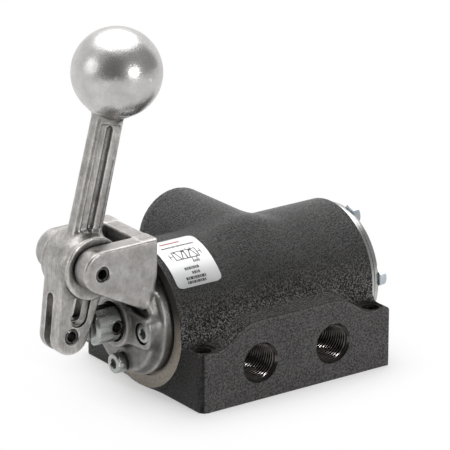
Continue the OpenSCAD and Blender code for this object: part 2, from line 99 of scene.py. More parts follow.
body_low, body_high = node_box("valve_body")
cap_low, cap_high = node_box("end_cap")
bracket_low, bracket_high = node_box("lever_bracket")
gasket_low, gasket_high = node_box("bracket_gasket")
spool_low, spool_high = node_box("spool")
pivot = joint_place("lever_swing")
arm_pin = joint_place("link_turn")

AXIS_Z = (cap_low[2] + cap_high[2]) / 2
CAP_R = (cap_high[1] - cap_low[1]) / 2
NOSE_X = body_low[0]
TAIL_X = body_high[0]
BASE_L = 98.0
BASE_W = -2 * body_low[1]
BASE_H = 26.2
CORNER_R = 4.0
TAIL_CORNER_R = 1.0
FOOT_R = 0.8
EDGE_R = 1.0
BARREL_OVER_CAP = 0.7
BARREL_R = CAP_R + BARREL_OVER_CAP
BORE_R = 14.0
GALLERY_R = 17.5
GALLERY_W = 8.0
GALLERY_PITCH = 17.5
SEAT_R = 26.0
SEAT_X = gasket_high[0]

PORT_X = 18.85
PORT_Z = 16.5
LOBE_R = 18.7
INLET_Y = body_high[1]
INLET_Z = 45.2
INLET_R = 19.1
INLET_DRAFT = 0.7
THREAD_R = 8.1
THREAD_L = 13.0
PASSAGE_R = 4.6
EXHAUST_R = 4.0
MOUNT_X = 87.4
MOUNT_Y = 73.6
MOUNT_PLACES = [(x, y) for x in (-MOUNT_X / 2, MOUNT_X / 2) for y in (-MOUNT_Y / 2, MOUNT_Y / 2)]
MOUNT_R = 3.6
SPOT_R = 5.0
SPOT_D = 0.8

SCREW_R = 2.4
SCREW_PCR = 19.2
SCREW_TURNS = (0, 90, 180, 270)
BOLT_PCR = 25.0
BOLT_COUNT = 5
BOLT_ANGLE = 122.0
BOLT_TURNS = [BOLT_ANGLE + 360 * k / BOLT_COUNT for k in range(BOLT_COUNT)]
HOLE_PLAY = 0.25
SHANK_PLAY = 0.02

PIN_R = 3.2
PIN_PLAY = 0.05
PIN_FIT = 0.02
CHAMFER = 0.5
ARM_L = float(np.hypot(*(pivot - arm_pin)[[0, 2]]))
LEAN = math.atan2(pivot[0] - arm_pin[0], pivot[2] - arm_pin[2])

# How far a cutter, or the grid of a mesh, reaches past the faces
SPARE = 3.0

# Points on a half circle of an outline
ARC_POINTS = 24


# Distance fields. Each takes coordinates and gives the distance to a surface, negative inside.

def blend_min(a, b, k):
    """Union of two fields with a fillet about k wide."""
    h = np.maximum(k - np.abs(a - b), 0.0) / k
    return np.minimum(a, b) - h * h * k / 4


def blend_max(a, b, k):
    """Intersection of two fields with an edge rounded about k wide."""
    return -blend_min(-a, -b, k)


def capsule(u, v, start, end, r_start, r_end):
    """Hull of two circles in a plane."""
    du, dv = end[0] - start[0], end[1] - start[1]
    t = ((u - start[0]) * du + (v - start[1]) * dv) / (du * du + dv * dv)
    t = np.clip(t, 0.0, 1.0)
    gap = np.hypot(u - start[0] - t * du, v - start[1] - t * dv)
    return gap - (r_start + t * (r_end - r_start))


def rounded_box(u, v, half_u, half_v, r):
    """Rectangle with rounded corners, in a plane."""
    du = np.abs(u) - half_u + r
    dv = np.abs(v) - half_v + r
    return np.hypot(np.maximum(du, 0.0), np.maximum(dv, 0.0)) + np.minimum(np.maximum(du, dv), 0.0) - r


def slab(u, low, high):
    """Space between two planes."""
    return np.abs(u - (low + high) / 2) - (high - low) / 2


# Meshes

NEWTON_STEPS = 3
PROBE_SHARE = 0.05
LEAST_STEEP = 0.2
WELD = 0.002
SLIVER = 0.001


def new_object(name, vertices, faces):
    """Object whose mesh has these corners, given in millimetres."""
    mesh = bpy.data.meshes.new(name)
    corners = np.asarray(vertices, float) * MM
    mesh.from_pydata(corners.tolist(), [], [list(map(int, f)) for f in faces])
    mesh.validate()
    mesh.update()
    made = bpy.data.objects.new(name, mesh)
    bpy.context.scene.collection.objects.link(made)
    return made


def grid_faces(rows, columns, first=0, closed=False):
    """Quads over points numbered row by row. A closed row joins its last point to its first."""
    return [(a + k, a + (k + 1) % columns, a + columns + (k + 1) % columns, a + columns + k)
            for a in range(first, first + (rows - 1) * columns, columns)
            for k in range(columns if closed else columns - 1)]


def surface_net(name, field, low, high, step):
    """Closed quad mesh of the surface where the field is zero."""
    ticks = [np.arange(low[i], high[i] + step, step) for i in range(3)]
    grid = np.meshgrid(*ticks, indexing="ij", sparse=True)
    value = np.broadcast_to(field(*grid), [len(t) for t in ticks])
    cells = tuple(n - 1 for n in value.shape)
    cell_of, point_of, quads = [], [], []
    for axis in range(3):
        u, v = (axis + 1) % 3, (axis + 2) % 3
        f0, f1 = np.delete(value, -1, axis), np.delete(value, 0, axis)
        at = np.argwhere((f0 < 0) != (f1 < 0))
        g0, g1 = f0[tuple(at.T)], f1[tuple(at.T)]
        point = at.astype(float)
        point[:, axis] += g0 / (g0 - g1)
        ring = []
        for du, dv in ((-1, -1), (0, -1), (0, 0), (-1, 0)):
            cell = at.copy()
            cell[:, u] += du
            cell[:, v] += dv
            ring.append(np.ravel_multi_index(tuple(cell.T), cells))
            cell_of.append(ring[-1])
            point_of.append(point)
        ring = np.array(ring).T
        quads.append(np.where((g0 < 0)[:, None], ring, ring[:, ::-1]))
    cell_of = np.concatenate(cell_of)
    point_of = np.concatenate(point_of)
    used, index = np.unique(cell_of, return_inverse=True)
    count = np.bincount(index)
    corner = np.stack([np.bincount(index, point_of[:, i]) / count for i in range(3)], 1)
    corner = np.array(low) + step * corner
    for _ in range(NEWTON_STEPS):
        corner = onto_surface(field, corner, step)
    faces = np.searchsorted(used, np.concatenate(quads))
    return new_object(name, corner, faces)


def onto_surface(field, corner, step):
    """Moves points along the field's slope to where it is zero, by no more than half a step."""
    probe = PROBE_SHARE * step
    here = field(*corner.T)
    slope = np.empty_like(corner)
    for i in range(3):
        ahead = corner.copy()
        ahead[:, i] += probe
        slope[:, i] = (field(*ahead.T) - here) / probe
    steep = np.maximum((slope ** 2).sum(1), LEAST_STEEP)
    move = slope * (here / steep)[:, None]
    length = np.linalg.norm(move, axis=1)
    move *= np.minimum(1.0, 0.5 * step / np.maximum(length, 1e-9))[:, None]
    return corner - move


def lathe(name, profile, place=Matrix.Identity(4), segments=96):
    """Solid of revolution about Z. The profile is a closed run of (radius, height)."""
    count = len(profile)
    angles = [2 * math.pi * k / segments for k in range(segments)]
    vertices = [(r * math.cos(a), r * math.sin(a), h) for a in angles for r, h in profile]
    sides = [(i, (i + 1) % count) for i in range(count) if profile[i][0] or profile[(i + 1) % count][0]]
    faces = []
    for k in range(segments):
        a, b = k * count, (k + 1) % segments * count
        faces += [(a + i, b + i, b + j, a + j) for i, j in sides]
    return settle(new_object(name, vertices, faces), place)


def settle(made, place=Matrix.Identity(4)):
    """Moves a mesh, welds its doubled corners and turns its faces outward."""
    shift = place.copy()
    shift.translation = shift.translation * MM
    work = bmesh.new()
    work.from_mesh(made.data)
    bmesh.ops.remove_doubles(work, verts=work.verts, dist=WELD * MM)
    bmesh.ops.dissolve_degenerate(work, edges=work.edges, dist=SLIVER * MM)
    bmesh.ops.transform(work, matrix=shift, verts=work.verts)
    bmesh.ops.recalc_face_normals(work, faces=work.faces)
    work.to_mesh(made.data)
    work.free()
    return made


def prism(name, outline, low, high, place=Matrix.Identity(4)):
    """Outline in X and Y, extruded along Z."""
    count = len(outline)
    vertices = [(x, y, z) for z in (low, high) for x, y in outline]
    faces = [tuple(range(count))[::-1], tuple(range(count, 2 * count))]
    faces += [(i, (i + 1) % count, count + (i + 1) % count, count + i) for i in range(count)]
    return settle(new_object(name, vertices, faces), place)


def finished(made):
    """Replaces an object's mesh by the result of its modifiers."""
    bpy.context.view_layer.update()
    graph = bpy.context.evaluated_depsgraph_get()
    mesh = bpy.data.meshes.new_from_object(made.evaluated_get(graph), depsgraph=graph)
    old = made.data
    made.modifiers.clear()
    made.data = mesh
    mesh.name = made.name
    bpy.data.meshes.remove(old)
    return made


def combined(made, others, operation):
    """Cuts, joins or intersects with other solids, which are then removed."""
    for other in others:
        step = made.modifiers.new("cut", "BOOLEAN")
        step.operation = operation
        step.solver = "MANIFOLD"
        step.object = other
    finished(made)
    for other in others:
        bpy.data.objects.remove(other)
    return made


def cut(made, cutters):
    """Takes these solids away from the mesh."""
    return combined(made, cutters, "DIFFERENCE")


def smooth(made, angle=32.0):
    """Shades smooth, and keeps edges sharper than the angle in degrees."""
    made.data.shade_smooth()
    made.data.set_sharp_from_angle(angle=math.radians(angle))
    return made


def along_x(x=0.0, y=0.0, z=AXIS_Z, turn=0.0):
    """Places a shape whose axis is Z so that its axis is X, turned about it by some degrees."""
    return Matrix.Translation((x, y, z)) @ turned(90, "Y") @ turned(turn, "Z")


def along_y(x, y, z, away=False):
    """Places a shape whose axis is Z so that it runs along +Y, or along -Y when away is set."""
    return Matrix.Translation((x, y, z)) @ turned(90 if away else -90, "X")


def rod(r, length, place, segments=96):
    """Plain cylinder that starts at Z = 0 and runs up."""
    return lathe("rod", [(0, 0), (r, 0), (r, length), (0, length)], place, segments)


def on_circle(place, r):
    """The same place, moved out to a circle of bolts about its axis."""
    return place @ Matrix.Translation((r, 0, 0))


# Materials

WHITE = (1.0, 1.0, 1.0)


def feed(tree, socket, value):
    """Joins a socket to an input, or sets the input to a number or colour."""
    if isinstance(value, bpy.types.NodeSocket):
        tree.links.new(value, socket)
    else:
        socket.default_value = (*value, 1) if socket.type == "RGBA" else value


def add_node(tree, kind, inputs=(), **settings):
    """New node with these settings, and with inputs that are given by name or number."""
    made = tree.nodes.new(kind)
    for key, value in settings.items():
        setattr(made, key, value)
    for key, value in dict(inputs).items():
        feed(tree, made.inputs[key], value)
    return made


class Shader:
    """A material's node tree, with short ways to add nodes. Values are numbers, colours or sockets."""

    def __init__(self, name):
        self.material = bpy.data.materials.new(name)
        self.material.use_nodes = True
        self.tree = self.material.node_tree
        self.surface = self.tree.nodes["Principled BSDF"]
        self.place = self.node("ShaderNodeTexCoord").outputs["Object"]

    def node(self, kind, inputs=(), **settings):
        return add_node(self.tree, kind, inputs, **settings)

    def noise(self, size, detail=4.0, rough=0.55, stretch=None):
        """Noise whose features are about size millimetres across, as a value from 0 to 1."""
        place = self.place
        if stretch:
            place = self.node("ShaderNodeMapping", {"Vector": place, "Scale": stretch}).outputs["Vector"]
        inputs = {"Vector": place, "Scale": 1.0 / (size * MM), "Detail": detail, "Roughness": rough}
        return self.node("ShaderNodeTexNoise", inputs).outputs["Fac"]

    def ramp(self, source, stops):
        """Colour ramp with stops of (position, colour or grey)."""
        made = self.node("ShaderNodeValToRGB", {"Fac": source})
        elements = made.color_ramp.elements
        while len(elements) < len(stops):
            elements.new(0.5)
        for element, (position, colour) in zip(elements, stops):
            element.position = position
            element.color = (*colour, 1) if isinstance(colour, tuple) else (colour, colour, colour, 1)
        return made.outputs["Color"]

    def edges(self, stops):
        """Ramp over the mesh's own shape, from hollows to sharp crests."""
        return self.ramp(self.node("ShaderNodeNewGeometry").outputs["Pointiness"], stops)

    def math(self, operation, *values):
        return self.node("ShaderNodeMath", enumerate(values), operation=operation).outputs["Value"]

    def mixed(self, factor, a, b, mode="MIX"):
        inputs = {0: factor, 6: a, 7: b}
        return self.node("ShaderNodeMix", inputs, data_type="RGBA", blend_type=mode).outputs[2]

    def times(self, a, b):
        return self.mixed(1.0, a, b, "MULTIPLY")

    def axis(self, name):
        """One coordinate of the point, in metres."""
        return self.node("ShaderNodeSeparateXYZ", {"Vector": self.place}).outputs[name]

    def share(self, name, length):
        """One coordinate of the point, as a share of a length in millimetres."""
        return self.math("MULTIPLY", self.axis(name), 1.0 / (length * MM))

    def beyond(self, coordinate, limit):
        """One where the coordinate is above a limit in millimetres."""
        return self.math("GREATER_THAN", coordinate, limit * MM)

    def bump(self, height, distance, strength=1.0, under=None):
        """Normal bent by a height. The distance is millimetres, or a socket in metres."""
        reach = distance * MM if isinstance(distance, float) else distance
        inputs = {"Height": height, "Distance": reach, "Strength": strength}
        if under is not None:
            inputs["Normal"] = under
        return self.node("ShaderNodeBump", inputs).outputs["Normal"]

    def set(self, **values):
        """Sets or joins inputs of the surface shader, such as base_color or metallic."""
        for key, value in values.items():
            name = key.replace("_", " ").title().replace("Ior", "IOR")
            feed(self.tree, self.surface.inputs[name], value)
        return self.material


# The coating of the front and back faces starts FACE_BAND inside them, with a dark line behind it.
FACE_BAND = 0.6
LINE_BAND = 1.4
LINE_SHARE = 0.75
# Share and gloss of the painted glints: bright specks on the barrel that stand in for sparkling light
GLINT_SHARE = 0.85
GLINT_SHINE = 0.9
BARREL_RELIEF = 1.2
FACE_RELIEF = 1.8

# Heights over which the ramps by height run from 0 to 1
COAT_RISE = 70.0
RAMP_RISE = 100.0

# How far the painted shade of a hollow reaches
PAINTED_SHADE_REACH = 4.0


def coating_material():
    """Rough black coating over a sand casting, with a coarse orange peel on the front and back faces."""
    s = Shader("coating")
    broad = s.noise(16.0, 3.0)
    grain = s.noise(0.68, 2.0, 0.65)
    lumps = s.noise(0.85, 3.0, 0.65)
    depth = s.math("ABSOLUTE", s.axis("Y"))
    faces = s.beyond(depth, BASE_W / 2 - FACE_BAND)
    barrel_tone = s.ramp(broad, [(0.3, (0.020, 0.0187, 0.018)), (0.7, (0.031, 0.029, 0.028))])
    face_tone = s.ramp(broad, [(0.3, (0.052, 0.0475, 0.0475)), (0.7, (0.068, 0.063, 0.063))])
    barrel_pits = s.ramp(grain, [(0.40, 0.50), (0.60, 1.25)])
    face_pits = s.ramp(lumps, [(0.41, 0.45), (0.58, 1.35)])
    colour = s.times(s.mixed(faces, barrel_tone, face_tone), s.mixed(faces, barrel_pits, face_pits))
    # Painted glints: pale specks low on the barrel stand in for light sparkling off its lower half.
    rise = s.share("Z", COAT_RISE)
    low = s.ramp(rise, [(0.35, 0.0), (0.42, 1.0), (0.68, 0.0)])
    spots = s.math("MULTIPLY", s.ramp(grain, [(0.52, 0.0), (0.58, 1.0)]), low)
    painted_glints = s.math("MULTIPLY", spots, s.math("SUBTRACT", GLINT_SHARE, faces))
    colour = s.mixed(s.math("MAXIMUM", painted_glints, 0.0), colour, (0.25, 0.243, 0.236))
    # A thin dark line follows the edge of the front and back faces.
    line = s.math("SUBTRACT", s.beyond(depth, BASE_W / 2 - LINE_BAND), faces)
    colour = s.mixed(s.math("MULTIPLY", line, LINE_SHARE), colour, (0.006, 0.006, 0.006))
    # The upper half of the barrel shines more, and so do the specks of the painted glints.
    rough = s.ramp(grain, [(0.3, 0.40), (0.7, 0.25)])
    upper = s.ramp(rise, [(0.50, 0.45), (0.85, 1.0)])
    barrel_shine = s.math("MULTIPLY", upper, s.ramp(grain, [(0.42, 0.25), (0.58, 0.70)]))
    barrel_shine = s.math("MAXIMUM", barrel_shine, s.math("MULTIPLY", spots, GLINT_SHINE))
    face_shine = s.ramp(lumps, [(0.41, 0.27), (0.58, 0.78)])
    shine = s.mixed(faces, barrel_shine, face_shine)
    extra = (FACE_RELIEF - BARREL_RELIEF) * MM
    relief = s.bump(s.mixed(faces, grain, lumps), s.math("MULTIPLY_ADD", faces, extra, BARREL_RELIEF * MM))
    return s.set(base_color=colour, roughness=rough, specular_ior_level=shine, normal=relief)


def machined_iron_material():
    """Milled faces and the bore. The coating has run over their upper half."""
    s = Shader("machined_iron")
    rings = s.noise(1.2, 2.0, 0.5)
    tone = s.ramp(rings, [(0.3, (0.20, 0.175, 0.145)), (0.7, (0.33, 0.295, 0.25))])
    height = s.share("Z", RAMP_RISE)
    bare = s.ramp(s.math("MULTIPLY_ADD", rings, 0.06, height), [(0.34, 1.0), (0.43, 0.0)])
    colour = s.mixed(bare, (0.055, 0.048, 0.042), tone)
    return s.set(base_color=colour, metallic=0.45, roughness=0.45, normal=s.bump(rings, 0.05, 0.6))


def port_material():
    """Cut thread, coloured dark as painted shade inside the holes, with painted shade in its grooves and
    painted highlights on its crests.
    """
    s = Shader("port_thread")
    stain = s.noise(3.0, 3.0)
    tone = s.ramp(stain, [(0.3, (0.030, 0.026, 0.024)), (0.7, (0.070, 0.062, 0.056))])
    # Painted shade in the thread's grooves and painted highlights on its crests, from the mesh's pointiness
    colour = s.times(tone, s.edges([(0.44, 0.08), (0.50, 0.45), (0.56, 2.1)]))
    return s.set(base_color=colour, metallic=0.7, roughness=0.22, normal=s.bump(stain, 0.03, 0.3))


def cast_material(name, low, high, smooth_rough, coarse_rough, relief, drag=0.0):
    """Bare cast aluminium, cloudy, with painted highlights on its edges, painted shade in its hollows and,
    if asked, drag marks.
    """
    s = Shader(name)
    cloud = s.noise(7.0, 5.0, 0.65)
    grain = s.noise(0.6, 3.0, 0.6)
    # Painted highlight on sharp crests and painted shade in creases, from the mesh's pointiness
    painted_edge_shading = s.edges([(0.45, 0.35), (0.50, 0.82), (0.53, 1.15)])
    colour = s.times(s.ramp(cloud, [(0.32, low), (0.68, high)]), painted_edge_shading)
    # Painted shade: ambient occlusion darkens hollows and the gaps between parts
    painted_occlusion = s.node("ShaderNodeAmbientOcclusion", {"Distance": PAINTED_SHADE_REACH * MM}, samples=6)
    colour = s.times(colour, s.ramp(painted_occlusion.outputs["AO"], [(0.35, 0.14), (0.92, 1.0)]))
    if drag:
        marks = s.noise(0.7, 2.0, 0.6, (1.0, 1.0, 0.07))
        stain = s.noise(1.5, 3.0, 0.65)
        colour = s.times(colour, s.ramp(marks, [(0.3, 1.0 - drag), (0.6, 1.0)]))
        colour = s.times(colour, s.ramp(stain, [(0.38, (0.87, 0.85, 0.83)), (0.56, (1.0, 1.0, 1.0))]))
    rough = s.ramp(s.mixed(0.5, cloud, grain), [(0.35, coarse_rough), (0.65, smooth_rough)])
    normal = s.bump(grain, 0.10 * relief, 0.7, s.bump(cloud, 0.5 * relief, 0.5))
    return s.set(base_color=colour, metallic=0.95, roughness=rough, normal=normal)


def plain_material(name, low, high, metallic, rough, size=1.5, relief=0.03, strength=0.4):
    """Rubber, fibre, ink, blackened or plated steel, slightly clouded in colour and gloss."""
    s = Shader(name)
    cloud = s.noise(size, 3.0, 0.6)
    tone = s.ramp(cloud, [(0.3, low), (0.7, high)])
    gloss = s.ramp(cloud, [(0.3, rough + 0.05), (0.7, rough - 0.05)])
    normal = s.bump(cloud, relief, strength)
    return s.set(base_color=tone, metallic=metallic, roughness=gloss, normal=normal)


def metal_material(name, low, high, rough, size=2.5):
    """Plated or turned metal."""
    return plain_material(name, low, high, 0.95, rough + 0.01, size, 0.05, 0.35)


def foil_material():
    """Pale foil that greys towards the label's lower edge, as painted shade under the light from above."""
    s = Shader("label_foil")
    cloud = s.noise(9.0, 3.0, 0.6)
    painted_shade_rise = s.math("MULTIPLY_ADD", cloud, 0.05, s.share("Z", RAMP_RISE))
    stops = [(0.48, (0.27, 0.275, 0.28)), (0.55, (0.60, 0.60, 0.605)), (0.62, (0.77, 0.77, 0.77))]
    s.set(base_color=s.ramp(painted_shade_rise, stops), metallic=0.3)
    return s.set(roughness=s.ramp(cloud, [(0.3, 0.38), (0.7, 0.30)]), normal=s.bump(cloud, 0.03, 0.4))


COATING = coating_material()
MACHINED = machined_iron_material()
PORT = port_material()
CAST = cast_material("cast_aluminium", (0.38, 0.366, 0.358), (0.57, 0.553, 0.545), 0.26, 0.42, 1.4, 0.06)
BAR = cast_material("lever_aluminium", (0.39, 0.376, 0.362), (0.65, 0.633, 0.617), 0.25, 0.40, 1.5, 0.22)
# Darker, rougher copy of the aluminium: its darker colour is painted shade on the flange under the ears and
# lever
SHADED_FLANGE = cast_material("shaded_flange_aluminium", (0.22, 0.216, 0.206), (0.36, 0.355, 0.345), 0.34, 0.50, 1.6, 0.08)
POLISHED = cast_material("polished_aluminium", (0.55, 0.54, 0.53), (0.70, 0.69, 0.68), 0.24, 0.34, 0.6)
ZINC = metal_material("zinc_plate", (0.28, 0.292, 0.282), (0.46, 0.475, 0.46), 0.27, 4.0)
BRIGHT_ZINC = metal_material("bright_zinc", (0.40, 0.44, 0.47), (0.60, 0.65, 0.69), 0.24, 4.0)
PLATE = metal_material("cap_plate", (0.36, 0.36, 0.355), (0.54, 0.54, 0.535), 0.24, 9.0)
BRASS = metal_material("brass", (0.55, 0.42, 0.18), (0.72, 0.56, 0.26), 0.30)
BLACK_STEEL = plain_material("black_steel", (0.060, 0.057, 0.055), (0.120, 0.115, 0.112), 0.85, 0.28)
RUBBER = plain_material("seal_rubber", (0.012, 0.012, 0.012), (0.025, 0.025, 0.025), 0.0, 0.55)
FIBRE = plain_material("gasket_fibre", (0.03, 0.028, 0.026), (0.06, 0.055, 0.05), 0.0, 0.75)
FOIL = foil_material()
INK = plain_material("label_ink", (0.014, 0.014, 0.015), (0.03, 0.03, 0.031), 0.0, 0.5)
RED_INK = plain_material("label_red_ink", (0.36, 0.03, 0.03), (0.46, 0.05, 0.045), 0.0, 0.5)


def dress(made, *materials):
    """Gives a mesh these materials in place of its own."""
    made.data.materials.clear()
    for material in materials:
        made.data.materials.append(material)
    return made


def piece(made, name, body, replaces=(), materials=()):
    """Names a piece, lets it ride on a body and hides the CAD nodes that it stands for."""
    made.name = name
    made.data.name = name
    if materials:
        dress(made, *materials)
    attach(made, body)
    if replaces:
        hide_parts(*replaces)


# Body casting

LOBE_FILLET = 5.0
BOSS_FILLET = 4.0
FOOT_FILLET = 4.5
FAR_FILLET = 3.0
NEAR_FILLET = 10.0
FILLET_BACK = 6.0
FILLET_RUN = 14.0
FILLET_LOW = 38.0
FILLET_CLIMB = 8.0
MILL_SPARE = 1.5
MILL_R = 60.0
MILL_L = 10.0
SPOT_UP = 12.0
BODY_GRID = 0.8


def casting_field(x, y, z):
    """The casting before it is machined."""
    lobes = capsule(x, z, (-PORT_X, PORT_Z), (PORT_X, PORT_Z), LOBE_R, LOBE_R)
    top = blend_min(z - BASE_H, lobes, LOBE_FILLET)
    corner_r = np.where(x < 0.0, CORNER_R, TAIL_CORNER_R)
    block = blend_max(top, rounded_box(x, y, BASE_L / 2, BASE_W / 2, corner_r), EDGE_R)
    block = np.maximum(block, rounded_box(x, z - BASE_L, BASE_L / 2, BASE_L, FOOT_R))
    run = np.clip(y / INLET_Y, 0.0, 1.0)
    boss_r = INLET_R + INLET_DRAFT * (1 - run)
    boss = np.sqrt(x ** 2 + (z - INLET_Z) ** 2 + np.minimum(y, 0.0) ** 2) - boss_r
    block = blend_min(block, blend_max(boss, y - INLET_Y, EDGE_R), BOSS_FILLET)
    barrel = np.hypot(y, z - AXIS_Z) - BARREL_R
    barrel = np.maximum(barrel, slab(x, NOSE_X - MILL_SPARE, TAIL_X + MILL_SPARE))
    # The fillet between boss and barrel is tight on the far side and widens towards the front.
    forward = np.clip((FILLET_BACK - y) / FILLET_RUN, 0.0, 1.0)
    soft = FAR_FILLET + (NEAR_FILLET - FAR_FILLET) * forward
    above = np.clip((z - FILLET_LOW) / FILLET_CLIMB, 0.0, 1.0)
    return blend_min(block, barrel, FOOT_FILLET + (soft - FOOT_FILLET) * above)


THREAD_PITCH = 1.411
THREAD_DEPTH = 1.25
THREAD_TAPER = math.tan(math.radians(1.79))
THREAD_FLAT = 0.1
THREAD_AROUND = 72
ROWS_PER_TURN = 10
MOUTH_R = THREAD_R + 0.85
MOUTH_D = 1.6
MOUTH_OUT = 1.0
DRILLED_L = 19.0
OVERLAP = 1.0
TAP_L = 11.0


def thread_plug(place, length=THREAD_L):
    """Solid of the space in a tapped port: a tapered plug with a helical ridge, from Z = 0 inward."""
    rows = int(length / THREAD_PITCH * ROWS_PER_TURN)
    heights = [-MOUTH_OUT] + list(np.linspace(0.0, length, rows))
    vertices = [(0, 0, -MOUTH_OUT)]
    for h in heights:
        for k in range(THREAD_AROUND):
            phase = (h / THREAD_PITCH - k / THREAD_AROUND) % 1.0
            ridge = (abs(2 * phase - 1) - THREAD_FLAT) / (1 - 2 * THREAD_FLAT)
            ridge = min(max(ridge, 0.0), 1.0)
            r = THREAD_R + THREAD_DEPTH * (ridge - 0.5) - THREAD_TAPER * h
            if h < MOUTH_D:
                r = max(r, MOUTH_R - h)
            angle = 2 * math.pi * k / THREAD_AROUND
            vertices.append((r * math.cos(angle), r * math.sin(angle), h))
    top = len(vertices)
    last = top - THREAD_AROUND
    vertices.append((0, 0, length))
    faces = grid_faces(len(heights), THREAD_AROUND, first=1, closed=True)
    for k in range(THREAD_AROUND):
        after = (k + 1) % THREAD_AROUND
        faces.append((0, 1 + after, 1 + k))
        faces.append((top, last + k, last + after))
    return settle(new_object("plug", vertices, faces), place)


def gallery_bore():
    """The bore with its five galleries and the bracket's seat, as one solid of revolution."""
    start, end = NOSE_X - SPARE, TAIL_X + SPARE
    profile = [(0, start), (SEAT_R, start), (SEAT_R, SEAT_X), (BORE_R, SEAT_X)]
    for i in range(-2, 3):
        low = i * GALLERY_PITCH - GALLERY_W / 2
        high = low + GALLERY_W
        profile += [(BORE_R, low), (GALLERY_R, low), (GALLERY_R, high), (BORE_R, high)]
    return lathe("bore", profile + [(BORE_R, end), (0, end)], along_x())


def exhaust_passage(side):
    """Slanting hole from an exhaust port up into the outermost gallery."""
    start = Vector((side * PORT_X, BASE_W / 2 - THREAD_L + OVERLAP, PORT_Z))
    end = Vector((side * 2 * GALLERY_PITCH, BORE_R, AXIS_Z - BORE_R / 2))
    run = end - start
    turn = run.to_track_quat("Z", "Y").to_matrix().to_4x4()
    return rod(EXHAUST_R, run.length, Matrix.Translation(start) @ turn, 48)


def air_passage(x, face_y, z, away=False):
    """Drilled hole from the end of a port's thread into the bore."""
    start = face_y - THREAD_L + OVERLAP
    return rod(PASSAGE_R, start - BORE_R / 2, along_y(x, start if away else -start, z, away), 48)


def port_cutters():
    """Threads and air passages of the five ports."""
    half = BASE_W / 2
    threads, passages = [], []
    for side in (-1, 1):
        x = side * PORT_X
        threads.append(thread_plug(along_y(x, -half, PORT_Z), DRILLED_L))
        threads.append(thread_plug(along_y(x, half, PORT_Z, away=True)))
        passages.append(air_passage(x, half, PORT_Z))
        passages.append(exhaust_passage(side))
    threads.append(thread_plug(along_y(0, INLET_Y, INLET_Z, away=True)))
    passages.append(air_passage(0, INLET_Y, INLET_Z, away=True))
    return threads + passages


def screw_drills():
    """Holes for the base bolts, the bracket's screws and the end cap's bolts."""
    drills = [rod(MOUNT_R, BASE_H + 4, Matrix.Translation((x, y, -2)), 48) for x, y in MOUNT_PLACES]
    tail = TAIL_X - TAP_L + 1
    for start, radius, turns in ((SEAT_X - 1, SCREW_PCR, SCREW_TURNS), (tail, BOLT_PCR, BOLT_TURNS)):
        drills += [rod(SCREW_R, TAP_L, on_circle(along_x(start, turn=turn), radius), 32) for turn in turns]
    return drills


def body_casting():
    low = np.array([NOSE_X, body_low[1], body_low[2]]) - SPARE
    high = np.array([TAIL_X, body_high[1], body_high[2]]) + SPARE
    made = surface_net("body_casting", casting_field, low, high, BODY_GRID)
    # At sharp edges the net's corners stand a little proud, so they are held to the flat faces.
    for vertex in made.data.vertices:
        vertex.co.y = min(max(vertex.co.y, -BASE_W / 2 * MM), INLET_Y * MM)
        vertex.co.z = max(vertex.co.z, 0.0)
    dress(made, COATING, MACHINED, PORT)
    mills = [rod(MILL_R, MILL_L, along_x(x)) for x in (NOSE_X - MILL_L, TAIL_X)]
    spots = [rod(SPOT_R, SPOT_UP, Matrix.Translation((x, y, BASE_H - SPOT_D)), 64) for x, y in MOUNT_PLACES]
    cutters = [dress(cutter, MACHINED) for cutter in mills + [gallery_bore()]]
    cutters += [dress(cutter, PORT) for cutter in port_cutters() + screw_drills()]
    cutters += [dress(cutter, COATING) for cutter in spots]
    cut(made, cutters)
    smooth(made)
    piece(made, "body_casting", "root", ["valve_body"])


body_casting()


# Lever

KNOB_UP = 80.9
KNOB_R = 19.0
HANDLE_W = 13.8
HANDLE_T = 7.4
HANDLE_EDGE = 2.2
HANDLE_FLARE = 0.3
HANDLE_FILLET = 3.2
PANEL_D = 0.45
PANEL_RIM = 1.9
PANEL_DOWN = 2.2
FLUTE_D = 1.5
FLUTE_W = 3.2
FLUTE_DOWN = 0.8
NECK_FILLET = 7.0
NECK_DOWN = 4.0
KNOB_BAND = 0.4
HUB_R = 13.6
HUB_HALF = 9.95
HUB_SHIFT = 1.4
ARM_TOP_R = 12.4
ARM_END_R = 8.2
ARM_T = 13.1
SLIT_W = 4.5
SLIT_UP = 16.9
WINDOW_W = 7.0
WINDOW_RIM = 0.8
WINDOW_SHIFT = 1.2
WINDOW_FLOOR = 1.6
WINDOW_DOWN = 0.6
LEVER_GRID = 0.5
LEVER_REACH = 20.0
LEVER_PLACE = Matrix.Translation(Vector(pivot)) @ Matrix.Rotation(LEAN, 4, "Y")


def neck_field(x, y, z):
    """Trumpet that runs from the handle's thickness into the knob, tangent to both."""
    centre_r = HANDLE_T / 2 + NECK_FILLET
    drop = math.sqrt((KNOB_R + NECK_FILLET) ** 2 - centre_r ** 2)
    start_z = KNOB_UP - drop
    end_z = start_z + NECK_FILLET * drop / (KNOB_R + NECK_FILLET)
    across = np.hypot(x, y)
    neck = NECK_FILLET - np.hypot(across - centre_r, z - start_z)
    return np.maximum(np.maximum(neck, across - centre_r), slab(z, start_z - NECK_DOWN, end_z))


